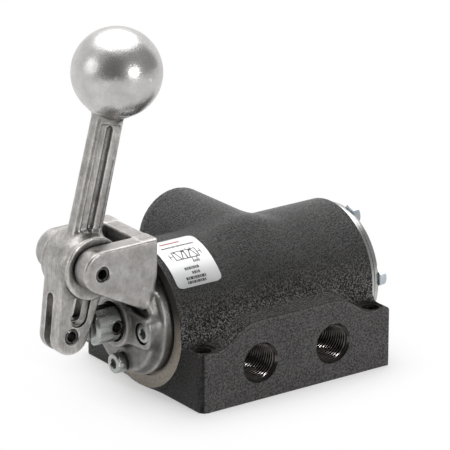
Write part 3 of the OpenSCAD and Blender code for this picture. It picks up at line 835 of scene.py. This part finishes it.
def lever_field(x, y, z):
    """The lever, upright, with its pivot at the origin."""
    knob = np.sqrt(x ** 2 + y ** 2 + (z - KNOB_UP) ** 2) - KNOB_R
    side = np.abs(y)
    rise = np.clip(z / (KNOB_UP - KNOB_R), 0.0, 1.0)
    spread = HANDLE_W / 2 / (HANDLE_W / 2 + HANDLE_FLARE * (1 - 2 * rise))
    bar = rounded_box(x * spread, y, HANDLE_W / 2, HANDLE_T / 2, HANDLE_EDGE)
    bar = np.maximum(bar, slab(z, 0.0, KNOB_UP))
    bar = blend_min(bar, neck_field(x, y, z), 1.5)
    top = KNOB_UP - KNOB_R - PANEL_DOWN
    floor = HANDLE_T / 2 - PANEL_D
    panel = rounded_box(x, z - top / 2, HANDLE_W / 2 - PANEL_RIM, top / 2, 1.0)
    bar = blend_max(bar, -np.maximum(panel, floor - side), 0.25)
    flute = np.hypot(x, np.maximum(z - top + FLUTE_W / 2 + FLUTE_DOWN, 0.0)) - FLUTE_W / 2
    flute = blend_max(flute, floor - FLUTE_D - side, 1.6)
    bar = blend_max(bar, -flute, 0.4)
    handle = blend_min(bar, knob, 0.8)
    arm = capsule(x, z, (0, 0), (0, -ARM_L), ARM_TOP_R, ARM_END_R)
    arm = blend_max(arm, side - ARM_T / 2, 1.5)
    hub = np.hypot(x - HUB_SHIFT, z) - HUB_R
    hub = blend_max(hub, side - HUB_HALF, 0.9)
    return blend_min(blend_min(arm, hub, 1.5), handle, HANDLE_FILLET)


def round_slot(r, x, low, high):
    """Slot outline with a round lower end and a square upper end."""
    turns = np.linspace(math.pi, 2 * math.pi, ARC_POINTS)
    arc = [(x + r * math.cos(a), low + r + r * math.sin(a)) for a in turns]
    return arc + [(x + r, high), (x - r, high)]


def slit_outline():
    """Slit of the forked arm: round above and open below, seen along X."""
    r = SLIT_W / 2
    turns = np.linspace(0, math.pi, ARC_POINTS)
    end = -ARM_END_R - 2
    return [(r * math.cos(a), SLIT_UP - r + r * math.sin(a)) for a in turns] + [(-r, end), (r, end)]


def countersinks(x, z, half):
    """Cutters for the chamfers at both ends of a pin hole along Y."""
    wide = PIN_R + CHAMFER
    profile = [(0, -1), (wide, -1), (wide, 0), (PIN_R, CHAMFER), (0, CHAMFER)]
    return [lathe("countersink", profile, along_y(x, y, z, away=y > 0), 64) for y in (-half, half)]


def lever_casting():
    low = np.array([-KNOB_R, -KNOB_R, -ARM_L - ARM_END_R]) - 2
    high = np.array([KNOB_R, KNOB_R, KNOB_UP + KNOB_R]) + 2
    made = surface_net("lever_casting", lever_field, low, high, LEVER_GRID)
    face_y = turned(90, "X")
    face_x = turned(90, "Z") @ face_y
    low_z, high_z = -ARM_L + PIN_R + WINDOW_FLOOR, -HUB_R - WINDOW_DOWN
    half, reach = ARM_T / 2, LEVER_REACH
    window = round_slot(WINDOW_W / 2, WINDOW_SHIFT, low_z, high_z)
    rim = round_slot(WINDOW_W / 2 + WINDOW_RIM, WINDOW_SHIFT, low_z - WINDOW_RIM, high_z + WINDOW_RIM / 2)
    cutters = [prism("window", window, -ARM_T, ARM_T, face_y),
               prism("rim", rim, half - WINDOW_RIM, half + 5, face_y),
               prism("rim", rim, -half - 5, WINDOW_RIM - half, face_y),
               prism("slit", slit_outline(), -reach, reach, Matrix.Translation((0, 0, -ARM_L)) @ face_x),
               rod(PIN_R + PIN_PLAY, 2 * reach, along_y(0, -reach, 0)),
               rod(PIN_R + PIN_FIT, 2 * reach, along_y(0, -reach, -ARM_L))]
    cut(made, cutters + countersinks(0, -ARM_L, half))
    dress(made, BAR, POLISHED)
    knob = Vector((0, 0, KNOB_UP)) * MM
    for face in made.data.polygons:
        face.material_index = 1 if (face.center - knob).length <= (KNOB_R + KNOB_BAND) * MM else 0
    settle(made, LEVER_PLACE)
    smooth(made, 40)
    piece(made, "lever_casting", "lever", ["lever"])


lever_casting()


# Bracket

FLANGE_OVER_GASKET = 0.4
FLANGE_R = (gasket_high[1] - gasket_low[1]) / 2 + FLANGE_OVER_GASKET
RIM_T = 4.4
PLATE_T = 8.8
RIM_SLOPE = 2.6
FACE_DRAFT = 0.8
BOSS_H = 5.0
BOSS_WALL = 2.4
SPOOL_R = 8.0
SPOOL_PLAY = 0.8
BOSS_R = SPOOL_R + SPOOL_PLAY
EARS_W = 37.5
EAR_T = 8.6
EAR_R = 9.0
EAR_UP = 0.9
EAR_FOOT_OUT = 1.8
EAR_FOOT_UP = 10.2
EAR_NOTCH = 1.5
EAR_BACK_LOW = 18.8
EAR_BACK_UP = 24.0
WALL_T = 6.8
WALL_BACK = 4.4
WALL_FILLET = 3.0
BACK_CUT_UP = 18.0
# Height above the axis below which the flange takes the darker aluminium of painted shade
FLANGE_SHADE_UP = 19.0
SOCKET_HEAD_R = 4.25
SUNK_D = 2.1
PROUD_D = 0.3
SUNK_ROOM = 0.5
PROUD_ROOM = 1.0
LUG_R = 7.0
LUG_H = 3.3
LUG_INSET = 0.7
BRACKET_GRID = 0.55
BRACKET_REACH = 30.0
FACE_NEAR = 0.3
EAR_NEAR = 0.4
plate_back = SEAT_X - (gasket_high[0] - gasket_low[0])
plate_x = plate_back - PLATE_T
rim_x = plate_back - RIM_T
boss_x = plate_x - BOSS_H
wall_x0 = SEAT_X - WALL_BACK
wall_x1 = wall_x0 - WALL_T
ear_z = pivot[2] + EAR_UP
ear_top = ear_z + EAR_R


def polygon_field(u, v, points):
    """Distance to a convex polygon whose corners run counterclockwise, sharp at its corners."""
    value = None
    for (u0, v0), (u1, v1) in zip(points, points[1:] + points[:1]):
        length = math.hypot(u1 - u0, v1 - v0)
        side = ((u - u0) * (v1 - v0) - (v - v0) * (u1 - u0)) / length
        value = side if value is None else np.maximum(value, side)
    return value


def ear_tangent():
    """Where the ear's lower edge leaves its round end, and where it meets the flange."""
    foot = np.array([plate_x - EAR_FOOT_OUT, AXIS_Z + EAR_FOOT_UP])
    centre = np.array([pivot[0], ear_z])
    gap = foot - centre
    reach = float(np.hypot(*gap))
    turn = math.atan2(gap[1], gap[0]) - math.acos(EAR_R / reach)
    return centre + EAR_R * np.array([math.cos(turn), math.sin(turn)]), foot


def ear_field(x, z):
    """Side view of an ear: its plate with a round end."""
    touch, foot = ear_tangent()
    plate = polygon_field(x, z, [touch, foot, (wall_x0 - EAR_NOTCH, AXIS_Z + EAR_BACK_LOW),
                                 (wall_x0, AXIS_Z + EAR_BACK_UP), (wall_x0, ear_top), (pivot[0], ear_top)])
    end = np.hypot(x - pivot[0], z - ear_z) - EAR_R
    return np.minimum(plate, end)


def bracket_field(x, y, z):
    """The bracket: stepped flange, boss round the spool, two screw lugs, two ears and their wall."""
    side = np.abs(y)
    rise = z - AXIS_Z
    radius = np.hypot(y, rise)
    behind = plate_back + 2
    rim = blend_max(radius - FLANGE_R, slab(x, rim_x, behind), 1.0)
    slope = (rim_x - x) / (plate_x - rim_x)
    face_r = FLANGE_R - RIM_SLOPE + FACE_DRAFT * (1 + slope)
    plate = blend_max(radius - face_r, slab(x, plate_x, behind), 1.2)
    flange = blend_min(rim, plate, 1.2)
    boss = blend_max(radius - BOSS_R - BOSS_WALL, slab(x, boss_x, plate_back), 0.9)
    lug = capsule(side, rise, (SPOOL_R, 0.0), (SCREW_PCR, 0.0), LUG_R + 1, LUG_R)
    lug = blend_max(lug, radius - FLANGE_R + LUG_INSET, 1.5)
    lug = blend_max(lug, slab(x, plate_x - LUG_H, plate_back), 1.4)
    flange = blend_min(flange, blend_min(boss, lug, 1.6), 2.2)
    ear = blend_max(ear_field(x, z), slab(side, EARS_W / 2 - EAR_T, EARS_W / 2), 1.3)
    wall_low = AXIS_Z + BOSS_R + BOSS_WALL - 1
    wall = np.maximum(slab(x, wall_x1, wall_x0), slab(z, wall_low, ear_top))
    wall = blend_max(wall, side - EARS_W / 2, WALL_FILLET)
    return blend_min(blend_min(ear, wall, 1.4), flange, 2.4)


def screw_seat(turn):
    """Plane that a bracket screw's head bears on. The uppermost screw stands proud."""
    return plate_x + (PROUD_D if turn == 0 else SUNK_D)


def bracket_casting():
    low, high = bracket_low - SPARE, bracket_high + SPARE
    made = surface_net("bracket_casting", bracket_field, low, high, BRACKET_GRID)
    reach = BRACKET_REACH
    near, far, wide = plate_back - 0.01, plate_back + reach, 2 * reach
    # What the blends left behind the flange comes off, so that it sits on its gasket.
    outline = [(near, -wide), (near, wide), (far, wide), (far, -wide)]
    behind = prism("behind", outline, -wide, AXIS_Z + BACK_CUT_UP)
    holes = [rod(BOSS_R, 40, along_x(plate_back - 35))]
    holes.append(rod(PIN_R + PIN_FIT, 2 * reach, along_y(pivot[0], -reach, pivot[2])))
    holes += countersinks(pivot[0], pivot[2], EARS_W / 2)
    for turn in SCREW_TURNS:
        place = on_circle(along_x(boss_x - 2, turn=turn), SCREW_PCR)
        room = PROUD_ROOM if turn == 0 else SUNK_ROOM
        holes.append(rod(SCREW_R + HOLE_PLAY, reach, place, 48))
        holes.append(rod(SOCKET_HEAD_R + room, screw_seat(turn) - boss_x + 2, place, 64))
    cut(made, [behind] + holes)
    smooth(made, 38)
    dress(made, CAST, SHADED_FLANGE)
    # The lower flange and its boss take the darker, rougher aluminium, whose darkness is painted shade
    # under the ears and lever; the ears and their wall do not.
    for face in made.data.polygons:
        x, y, z = face.center / MM
        disc = math.hypot(y, z - AXIS_Z) < FLANGE_R + FACE_NEAR and x > boss_x - FACE_NEAR
        ear = abs(y) > EARS_W / 2 - EAR_T - EAR_NEAR and ear_field(x, z) < FACE_NEAR
        face.material_index = 1 if disc and not ear and z < AXIS_Z + FLANGE_SHADE_UP else 0
    piece(made, "bracket_casting", "root", ["lever_bracket"])


bracket_casting()


# Fasteners and pins

SOCKET_HEAD_H = 5.0
SOCKET_AF = 4.0
SOCKET_D = 2.6
SOCKET_SPIN = 0.2
KNURL_COUNT = 96
KNURL_D = 0.14
THREAD_IN = 9.0
HEX_AF = 8.0
HEX_H = 3.5
HEX_TURN = 34.0
PIN_WALL = 1.1
PIN_SUNK = 0.6
SEAM_W = 0.6


def hexagon(af):
    """Corners of a hexagon with this width across its flats."""
    r = af / math.sqrt(3)
    return [(r * math.cos(math.radians(60 * k)), r * math.sin(math.radians(60 * k))) for k in range(6)]


def knurled(made, r):
    """Presses fine grooves into a head's side, which lies at the given radius about Z."""
    for vertex in made.data.vertices:
        x, y, _ = vertex.co
        groove = round(math.atan2(y, x) / (2 * math.pi) * KNURL_COUNT) % 2
        if groove and abs(math.hypot(x, y) - r * MM) < 0.02 * MM:
            vertex.co.x *= 1 - KNURL_D / r
            vertex.co.y *= 1 - KNURL_D / r


def socket_screw(name, turn):
    """Socket head screw of the bracket, with its head towards -X."""
    r, h = SOCKET_HEAD_R, SOCKET_HEAD_H
    seat = screw_seat(turn)
    shank = SCREW_R - SHANK_PLAY
    end = h + SEAT_X + THREAD_IN - seat
    made = lathe(name, [(0, 0), (r - 0.75, 0), (r - 0.45, 0.08), (r - 0.15, 0.32), (r, 0.7), (r, h - 0.3),
                        (r - 0.3, h), (shank, h), (shank, end - 0.8), (shank - 0.8, end), (0, end)])
    knurled(made, r)
    mouth = SOCKET_AF / math.sqrt(3) + 0.15
    socket = prism("socket", hexagon(SOCKET_AF), -1, SOCKET_D)
    lead = lathe("lead", [(0, -1), (mouth + 1, -1), (mouth, 0), (mouth - 0.5, 0.5), (0, 0.5)], segments=48)
    cut(made, [socket, lead])
    # Each socket is turned its own way.
    place = on_circle(along_x(seat - h, turn=turn), SCREW_PCR)
    settle(made, place @ Matrix.Rotation(SOCKET_SPIN * turn, 4, "Z"))
    smooth(made, 28)
    piece(made, name, "root", ["bracket_screws"], [ZINC])


def hex_bolt(name, turn):
    """Bolt whose hexagon head sits on the end cap."""
    grip = cap_high[0] - TAIL_X + THREAD_IN
    corner, r = HEX_AF / math.sqrt(3), HEX_AF / 2
    made = prism(name, hexagon(HEX_AF), 0, HEX_H)
    crown = [(0, -1), (corner + 1, -1), (corner + 1, HEX_H - 1.05), (corner + 0.05, HEX_H - 0.75),
             (r - 0.1, HEX_H - 0.08), (r - 0.4, HEX_H), (0, HEX_H)]
    combined(made, [lathe("crown", crown)], "INTERSECT")
    combined(made, [rod(SCREW_R - SHANK_PLAY, grip + 0.5, Matrix.Translation((0, 0, -grip)), 48)], "UNION")
    place = on_circle(along_x(cap_high[0], turn=turn), BOLT_PCR)
    settle(made, place @ turned(HEX_TURN, "Z"))
    smooth(made, 28)
    piece(made, name, "root", ["end_cap_bolts"], [BRIGHT_ZINC])


def roll_pin(name, node, body, x, z, half):
    """Sprung tube along Y with rounded ends and an open seam below."""
    r, bore = PIN_R, PIN_R - PIN_WALL
    near = [(bore + 0.2, -half), (r - 0.55, -half), (r - 0.2, 0.15 - half), (r, 0.6 - half)]
    far = [(across, -along) for across, along in reversed(near)]
    profile = near + far + [(bore, half - 0.2), (bore, 0.2 - half)]
    made = lathe(name, profile, along_y(x, 0, z), 64)
    gap = SEAM_W / 2
    seam = prism("seam", [(-gap, -40), (gap, -40), (gap, 40), (-gap, 40)], -r - 1, 0,
                 Matrix.Translation((x, 0, z)))
    cut(made, [seam])
    smooth(made, 30)
    piece(made, name, body, [node], [BLACK_STEEL])


for number, turn in enumerate(SCREW_TURNS, 1):
    socket_screw(f"bracket_screw_{number}", turn)
for number, turn in enumerate(BOLT_TURNS, 1):
    hex_bolt(f"end_cap_bolt_{number}", turn)
roll_pin("pivot_roll_pin", "pivot_pin", "root", pivot[0], pivot[2], EARS_W / 2 - PIN_SUNK)
roll_pin("arm_roll_pin", "arm_pin", "lever", arm_pin[0], arm_pin[2], ARM_T / 2 - PIN_SUNK / 2)


# Link and spool

LINK_R = 5.2
LINK_L = 21.8
LINK_T = 4.0
LINK_RISE = 0.6
LINK_GRID = 0.35
NECK_R = 5.2
NECK_SLOPE = 1.2
SLOT_PLAY = 0.25
SPOOL_PIN_SUNK = 0.8
spool_pin_x = arm_pin[0] + LINK_L
roll_pin("spool_roll_pin", "spool_pin", "spool", spool_pin_x, AXIS_Z, SPOOL_R - SPOOL_PIN_SUNK)


def link_field(x, y, z):
    """Flat plate with round ends, from the arm's pin to the spool's pin."""
    plate = capsule(x, z, (0, 0), (LINK_L, 0), LINK_R, LINK_R)
    return blend_max(plate, np.abs(y) - LINK_T / 2, 0.8)


def link_plate():
    low = np.array([-LINK_R, -LINK_T / 2, -LINK_R]) - 1.5
    high = np.array([LINK_L + LINK_R, LINK_T / 2, LINK_R]) + 1.5
    made = surface_net("link_plate", link_field, low, high, LINK_GRID)
    hole = PIN_R + PIN_PLAY
    turns = np.linspace(0.01, 2 * math.pi - 0.01, 2 * ARC_POINTS)
    outline = [(LINK_L + hole * math.cos(a), math.copysign(LINK_RISE, math.sin(a)) + hole * math.sin(a))
               for a in turns]
    slot = prism("slot", outline, -5, 5, turned(90, "X"))
    cut(made, [rod(hole, 10, along_y(0, -5, 0), 64), slot])
    settle(made, Matrix.Translation((arm_pin[0], 0, arm_pin[2])))
    smooth(made, 35)
    piece(made, "link_plate", "link", ["link"], [ZINC])


def spool_rod():
    """The spool with its two necks, its ring-turned front end and the slot for the link."""
    front, end = spool_low[0], spool_high[0]
    stroke = 2 * ARM_L * math.sin(LEAN)
    r = SPOOL_R
    profile = [(0, front), (r - 1.6, front), (r - 1.3, front + 0.1),
               (r - 0.2, front + 1.2), (r, front + 1.5)]
    for gallery in (-1, 1):
        low = gallery * GALLERY_PITCH - stroke / 2 - GALLERY_PITCH / 2
        high = low + GALLERY_PITCH
        profile += [(r, low), (NECK_R, low + NECK_SLOPE), (NECK_R, high - NECK_SLOPE), (r, high)]
    profile += [(r, end - 1), (r - 1, end), (0, end)]
    made = lathe("spool_rod", profile, along_x(), 128)
    half = SLIT_W / 2
    slot_end = spool_pin_x + LINK_R + SLOT_PLAY
    slot = [(front - 2, -half), (slot_end, -half), (slot_end, half), (front - 2, half)]
    lead = [(front - 1, -half - 1.4), (front + 0.4, -half), (front + 0.4, half), (front - 1, half + 1.4)]
    cutters = [prism("slot", outline, AXIS_Z - r - 2, AXIS_Z + r + 2) for outline in (slot, lead)]
    cut(made, cutters + [rod(PIN_R + PIN_FIT, 30, along_y(spool_pin_x, -15, AXIS_Z))])
    smooth(made, 30)
    piece(made, "spool_rod", "spool", ["spool"], [ZINC])


link_plate()
spool_rod()


# End cap

CAP_EDGE = 0.5
CAP_STEP = 1.7


def end_cap():
    """Thin plate with a broad flange against the casting and a narrower, stepped outer disc."""
    t = cap_high[0] - cap_low[0]
    flange = CAP_R - CAP_EDGE
    disc = CAP_R - CAP_STEP
    profile = [(0, 0), (flange - 0.2, 0), (flange, 0.15), (flange, 1.3), (flange - 0.3, 1.6),
               (disc - 0.9, 1.65), (disc - 1.0, 1.8), (disc - 1.0, 2.3), (disc - 0.1, 2.5), (disc, 2.6),
               (disc, t - 0.5), (disc - 0.15, t - 0.15), (disc - 0.5, t), (0, t)]
    made = lathe("end_cap_plate", profile, along_x(cap_low[0]), 192)
    cut(made, [rod(SCREW_R + HOLE_PLAY, t + 4, on_circle(along_x(cap_low[0] - 2, turn=turn), BOLT_PCR), 48)
               for turn in BOLT_TURNS])
    smooth(made, 30)
    piece(made, "end_cap_plate", "root", ["end_cap"], [PLATE])


end_cap()


# Label, with a plain valve symbol and rows of dashes in place of its print

LABEL_W = 22.4
LABEL_R = 2.4
LABEL_IN = 3.1
LABEL_TOP = math.radians(2.0)
LABEL_L = math.radians(52.0) * BARREL_R
LABEL_ROWS = 48
LABEL_COLUMN = 3.0
FOIL_T = 0.13
INK_LOW = 0.10
INK_HIGH = 0.17
INK_ROW = 0.9
STROKE = 0.34
FRAME_LINE = 0.44
SLANT_W = 0.5
POST_W = 0.36
DASH_GAP = 0.32

# Rows of dashes: left, distance down, right end, height, and the widths that repeat
DASH_ROWS = [
    (3.4, 5.7, 19.5, 1.0, (0.9, 0.5, 1.1, 0.7, 0.6)),
    (13.0, 15.9, 16.4, 1.1, (0.6, 0.5)),
    (7.0, 18.7, 14.2, 1.3, (0.8, 0.6, 0.9, 0.5)),
    (9.6, 21.0, 14.0, 1.3, (0.7, 0.9, 0.5)),
    (5.6, 23.2, 15.8, 1.35, (0.9, 0.6, 1.2, 0.5, 0.8)),
    (5.6, 25.1, 15.8, 1.2, (0.5, 1.0, 0.6, 0.9)),
]


def wrapped(rows, low, high):
    """Closed shell round the barrel. Rows are (down, left, right), measured on the label."""
    columns = max(2, int(max(right - left for _, left, right in rows) / LABEL_COLUMN) + 2)
    ring = 2 * columns
    vertices = []
    for down, left, right in rows:
        angle = LABEL_TOP + down / BARREL_R
        along = NOSE_X + LABEL_IN + np.linspace(left, right, columns)
        for r, run in ((BARREL_R + low, along), (BARREL_R + high, along[::-1])):
            vertices += [(x, -r * math.sin(angle), AXIS_Z + r * math.cos(angle)) for x in run]
    faces = grid_faces(len(rows), ring, closed=True)
    for a in (0, len(vertices) - ring):
        faces += [(a + k, a + k + 1, a + ring - 2 - k, a + ring - 1 - k) for k in range(columns - 1)]
    return vertices, faces


def print_shell(name, patches, material):
    """One mesh of many small closed patches of ink. A patch is a list of rows."""
    vertices, faces = [], []
    for rows in patches:
        corners, sides = wrapped(rows, INK_LOW, INK_HIGH)
        faces += [tuple(len(vertices) + i for i in face) for face in sides]
        vertices += corners
    made = settle(new_object(name, vertices, faces))
    piece(made, name, "root", ["label"], [material])


def slant(x0, y0, x1, y1, wide=SLANT_W):
    """Slanting stroke of ink."""
    steps = max(1, int(abs(y1 - y0) / INK_ROW))
    strokes = []
    for i in range(steps + 1):
        x, y = x0 + (x1 - x0) * i / steps, y0 + (y1 - y0) * i / steps
        strokes.append((y, x - wide / 2, x + wide / 2))
    return strokes


def bar(left, top, wide, tall):
    """Rectangle of ink."""
    return slant(left + wide / 2, top, left + wide / 2, top + tall, wide)


def frame_bars(left, top, wide, tall, line=FRAME_LINE):
    """Four bars that frame a rectangle."""
    return [bar(left, top, wide, line), bar(left, top + tall - line, wide, line),
            bar(left, top, line, tall), bar(left + wide - line, top, line, tall)]


def dashes(left, top, right, tall, widths):
    """Row of dashes that stands for a line of print."""
    patches, x, k = [], left, 0
    while x + widths[k % len(widths)] <= right:
        wide = widths[k % len(widths)]
        patches.append(bar(x, top, wide, tall))
        x += wide + DASH_GAP
        k += 1
    return patches


def label_foil():
    """The foil itself, with rounded corners."""
    rows = []
    for i in range(LABEL_ROWS + 1):
        down = LABEL_L * i / LABEL_ROWS
        rounding = max(LABEL_R - min(down, LABEL_L - down), 0.0)
        inset = LABEL_R - math.sqrt(max(LABEL_R ** 2 - rounding ** 2, 0.0))
        rows.append((down, inset, LABEL_W - inset))
    plate = settle(new_object("label_plate", *wrapped(rows, 0.0, FOIL_T)))
    smooth(plate, 30)
    piece(plate, "label_plate", "root", ["label"], [FOIL])


def valve_symbol(left, top, box, tall):
    """Generic sign of a valve: two boxes that share a wall, with strokes inside and stubs outside."""
    low, high = top + STROKE, top + tall - STROKE
    middle = left + box - STROKE
    ink = frame_bars(left, top, box, tall) + frame_bars(middle, top, box, tall)
    for start, lean in ((left, 0.8), (middle, -0.8)):
        for x, half in ((start + 2.2, lean), (start + 4.4, -lean)):
            ink.append(slant(x - half, low, x + half, high))
            ink.append(bar(x - half - 0.5, low, 1.0, 0.8))
    right = middle + box
    for x, stub, post in ((left - 1.9, 1.9, left - 1.9), (right, 1.7, right + 1.24)):
        ink.append(bar(x, top + 2.4, stub, POST_W))
        ink.append(bar(post, top + 1.2, POST_W, 2.8))
    for x in (left + 7.6, left + 9.8):
        ink.append(bar(x, top + tall, STROKE, 1.2))
        ink.append(bar(x, top - 1.0, STROKE, 1.0))
    return ink


label_foil()
symbol = valve_symbol(left=5.6, top=9.4, box=6.2, tall=5.2)
print_shell("label_print", symbol + [patch for row in DASH_ROWS for patch in dashes(*row)], INK)
print_shell("label_red_rule", [bar(4.4, 2.9, 9.8, 0.7)], RED_INK)


# CAD pieces that are carried over get their finish here

FINISH = {"bracket_gasket": FIBRE, "front_spacer": BRASS, "stack_washer": ZINC, "end_cap_gasket": FIBRE}
for number in range(1, 6):
    FINISH[f"seal_{number}"] = RUBBER
    FINISH[f"cage_{number}"] = BRASS
for node, material in FINISH.items():
    dress(frame["nodes"][node], material)


# Floor, backdrop and light

FLOOR_REACH = 3000.0
FLOOR_RISE = 100.0
WORLD_LIGHT = 0.42
WALL_R = 2600.0
WALL_LIFT = 2.0
WALL_ROWS = 24
WALL_STEPS = 64
WALL_TOP = math.radians(76.0)
WALL_START = math.radians(-90.0 - CAMERA_HEADING - 112.0)
WALL_END = math.radians(-90.0 - CAMERA_HEADING + 128.0)


def seen_ray(tree):
    """One where a ray comes from the camera or from a gloss or glass surface."""
    rays = add_node(tree, "ShaderNodeLightPath").outputs
    seen = rays["Is Camera Ray"]
    for kind in ("Is Glossy Ray", "Is Transmission Ray"):
        seen = add_node(tree, "ShaderNodeMath", {0: seen, 1: rays[kind]}, operation="MAXIMUM").outputs[0]
    return seen


def make_floor():
    """Plain floor. It turns white outwards and keeps the object's shadow near the base."""
    ends = (-FLOOR_REACH, FLOOR_REACH)
    floor = new_object("floor", [(x, y, 0) for y in ends for x in ends], [(0, 1, 3, 2)])
    s = Shader("floor")
    s.set(base_color=(0.92, 0.92, 0.92), roughness=0.9)
    glow = s.node("ShaderNodeEmission", {"Color": WHITE, "Strength": 1.0})
    squares = []
    for name, half in (("X", BASE_L / 2), ("Y", BASE_W / 2)):
        past = s.math("SUBTRACT", s.math("ABSOLUTE", s.axis(name)), half * MM)
        squares.append(s.math("POWER", s.math("MAXIMUM", past, 0.0), 2.0))
    out = s.math("MULTIPLY", s.math("SQRT", s.math("ADD", *squares)), 1.0 / (FLOOR_RISE * MM))
    white = s.ramp(out, [(0.0, 0.40), (0.10, 0.60), (0.30, 0.92), (0.6, 1.0)])
    share = s.math("MULTIPLY", seen_ray(s.tree), white)
    mix = s.node("ShaderNodeMixShader", {0: share, 1: s.surface.outputs[0], 2: glow.outputs[0]})
    feed(s.tree, s.tree.nodes["Material Output"].inputs["Surface"], mix.outputs[0])
    dress(floor, s.material)


def make_world():
    """Dim even light on the object, and plain white where the camera or gloss sees the world."""
    world = bpy.data.worlds.new("studio")
    bpy.context.scene.world = world
    world.use_nodes = True
    tree = world.node_tree
    light = tree.nodes["Background"]
    feed(tree, light.inputs["Color"], WHITE)
    feed(tree, light.inputs["Strength"], WORLD_LIGHT)
    seen = add_node(tree, "ShaderNodeBackground", {"Color": WHITE, "Strength": 1.0})
    inputs = {0: seen_ray(tree), 1: light.outputs[0], 2: seen.outputs[0]}
    mix = add_node(tree, "ShaderNodeMixShader", inputs)
    feed(tree, tree.nodes["World Output"].inputs["Surface"], mix.outputs[0])


def make_lamp(name, place, aim, size, power):
    """Round soft lamp. Its size is in millimetres and its power in watts."""
    data = bpy.data.lights.new(name, "AREA")
    data.shape = "DISK"
    data.size = size * MM
    data.energy = power
    lamp = bpy.data.objects.new(name, data)
    lamp.location = Vector(place) * MM
    lamp.rotation_euler = (Vector(place) - Vector(aim)).to_track_quat("Z", "Y").to_euler()
    bpy.context.scene.collection.objects.link(lamp)


def make_studio_wall():
    """The dim walls of the studio round the stand. Only gloss shows them."""
    vertices = []
    for i in range(WALL_ROWS + 1):
        height = WALL_R * math.tan(WALL_TOP * i / WALL_ROWS) + WALL_LIFT
        for k in range(WALL_STEPS + 1):
            angle = WALL_START + (WALL_END - WALL_START) * k / WALL_STEPS
            vertices.append((WALL_R * math.cos(angle), WALL_R * math.sin(angle), height))
    wall = new_object("studio_wall", vertices, grid_faces(WALL_ROWS + 1, WALL_STEPS + 1))
    s = Shader("studio_wall")
    s.set(base_color=(0.0, 0.0, 0.0), specular_ior_level=0.0)
    heading = math.radians(CAMERA_HEADING)
    east = s.math("MULTIPLY", s.axis("X"), math.cos(heading) / (WALL_R * MM))
    north = s.math("MULTIPLY", s.axis("Y"), math.sin(heading) / (WALL_R * MM))
    across = s.math("MULTIPLY_ADD", s.math("SUBTRACT", east, north), 0.5, 0.5)
    side = s.ramp(across, [(0.02, 0.75), (0.12, 0.38), (0.28, 0.15),
                           (0.58, 0.13), (0.74, 0.28), (0.97, 0.32)])
    rise = s.share("Z", math.tan(WALL_TOP) * WALL_R)
    lift = s.ramp(rise, [(0.0, 0.08), (0.25, 0.12), (0.43, 0.26), (0.70, 0.55), (1.0, 0.9)])
    s.set(emission_color=s.mixed(1.0, side, lift, "LIGHTEN"), emission_strength=1.0)
    dress(wall, s.material)
    for ray in ("camera", "diffuse", "shadow", "transmission"):
        setattr(wall, f"visible_{ray}", False)


make_floor()
make_world()
make_studio_wall()
make_lamp("top_box", place=(260, 420, 1500), aim=(0, 0, 60), size=2200, power=24)
make_lamp("left_box", place=(-1700, 500, 700), aim=(-40, 0, 60), size=1100, power=4)
make_lamp("spark", place=(230, -1584, 480), aim=(0, 0, 60), size=100, power=8)
bpy.context.scene.view_settings.view_transform = "Standard"
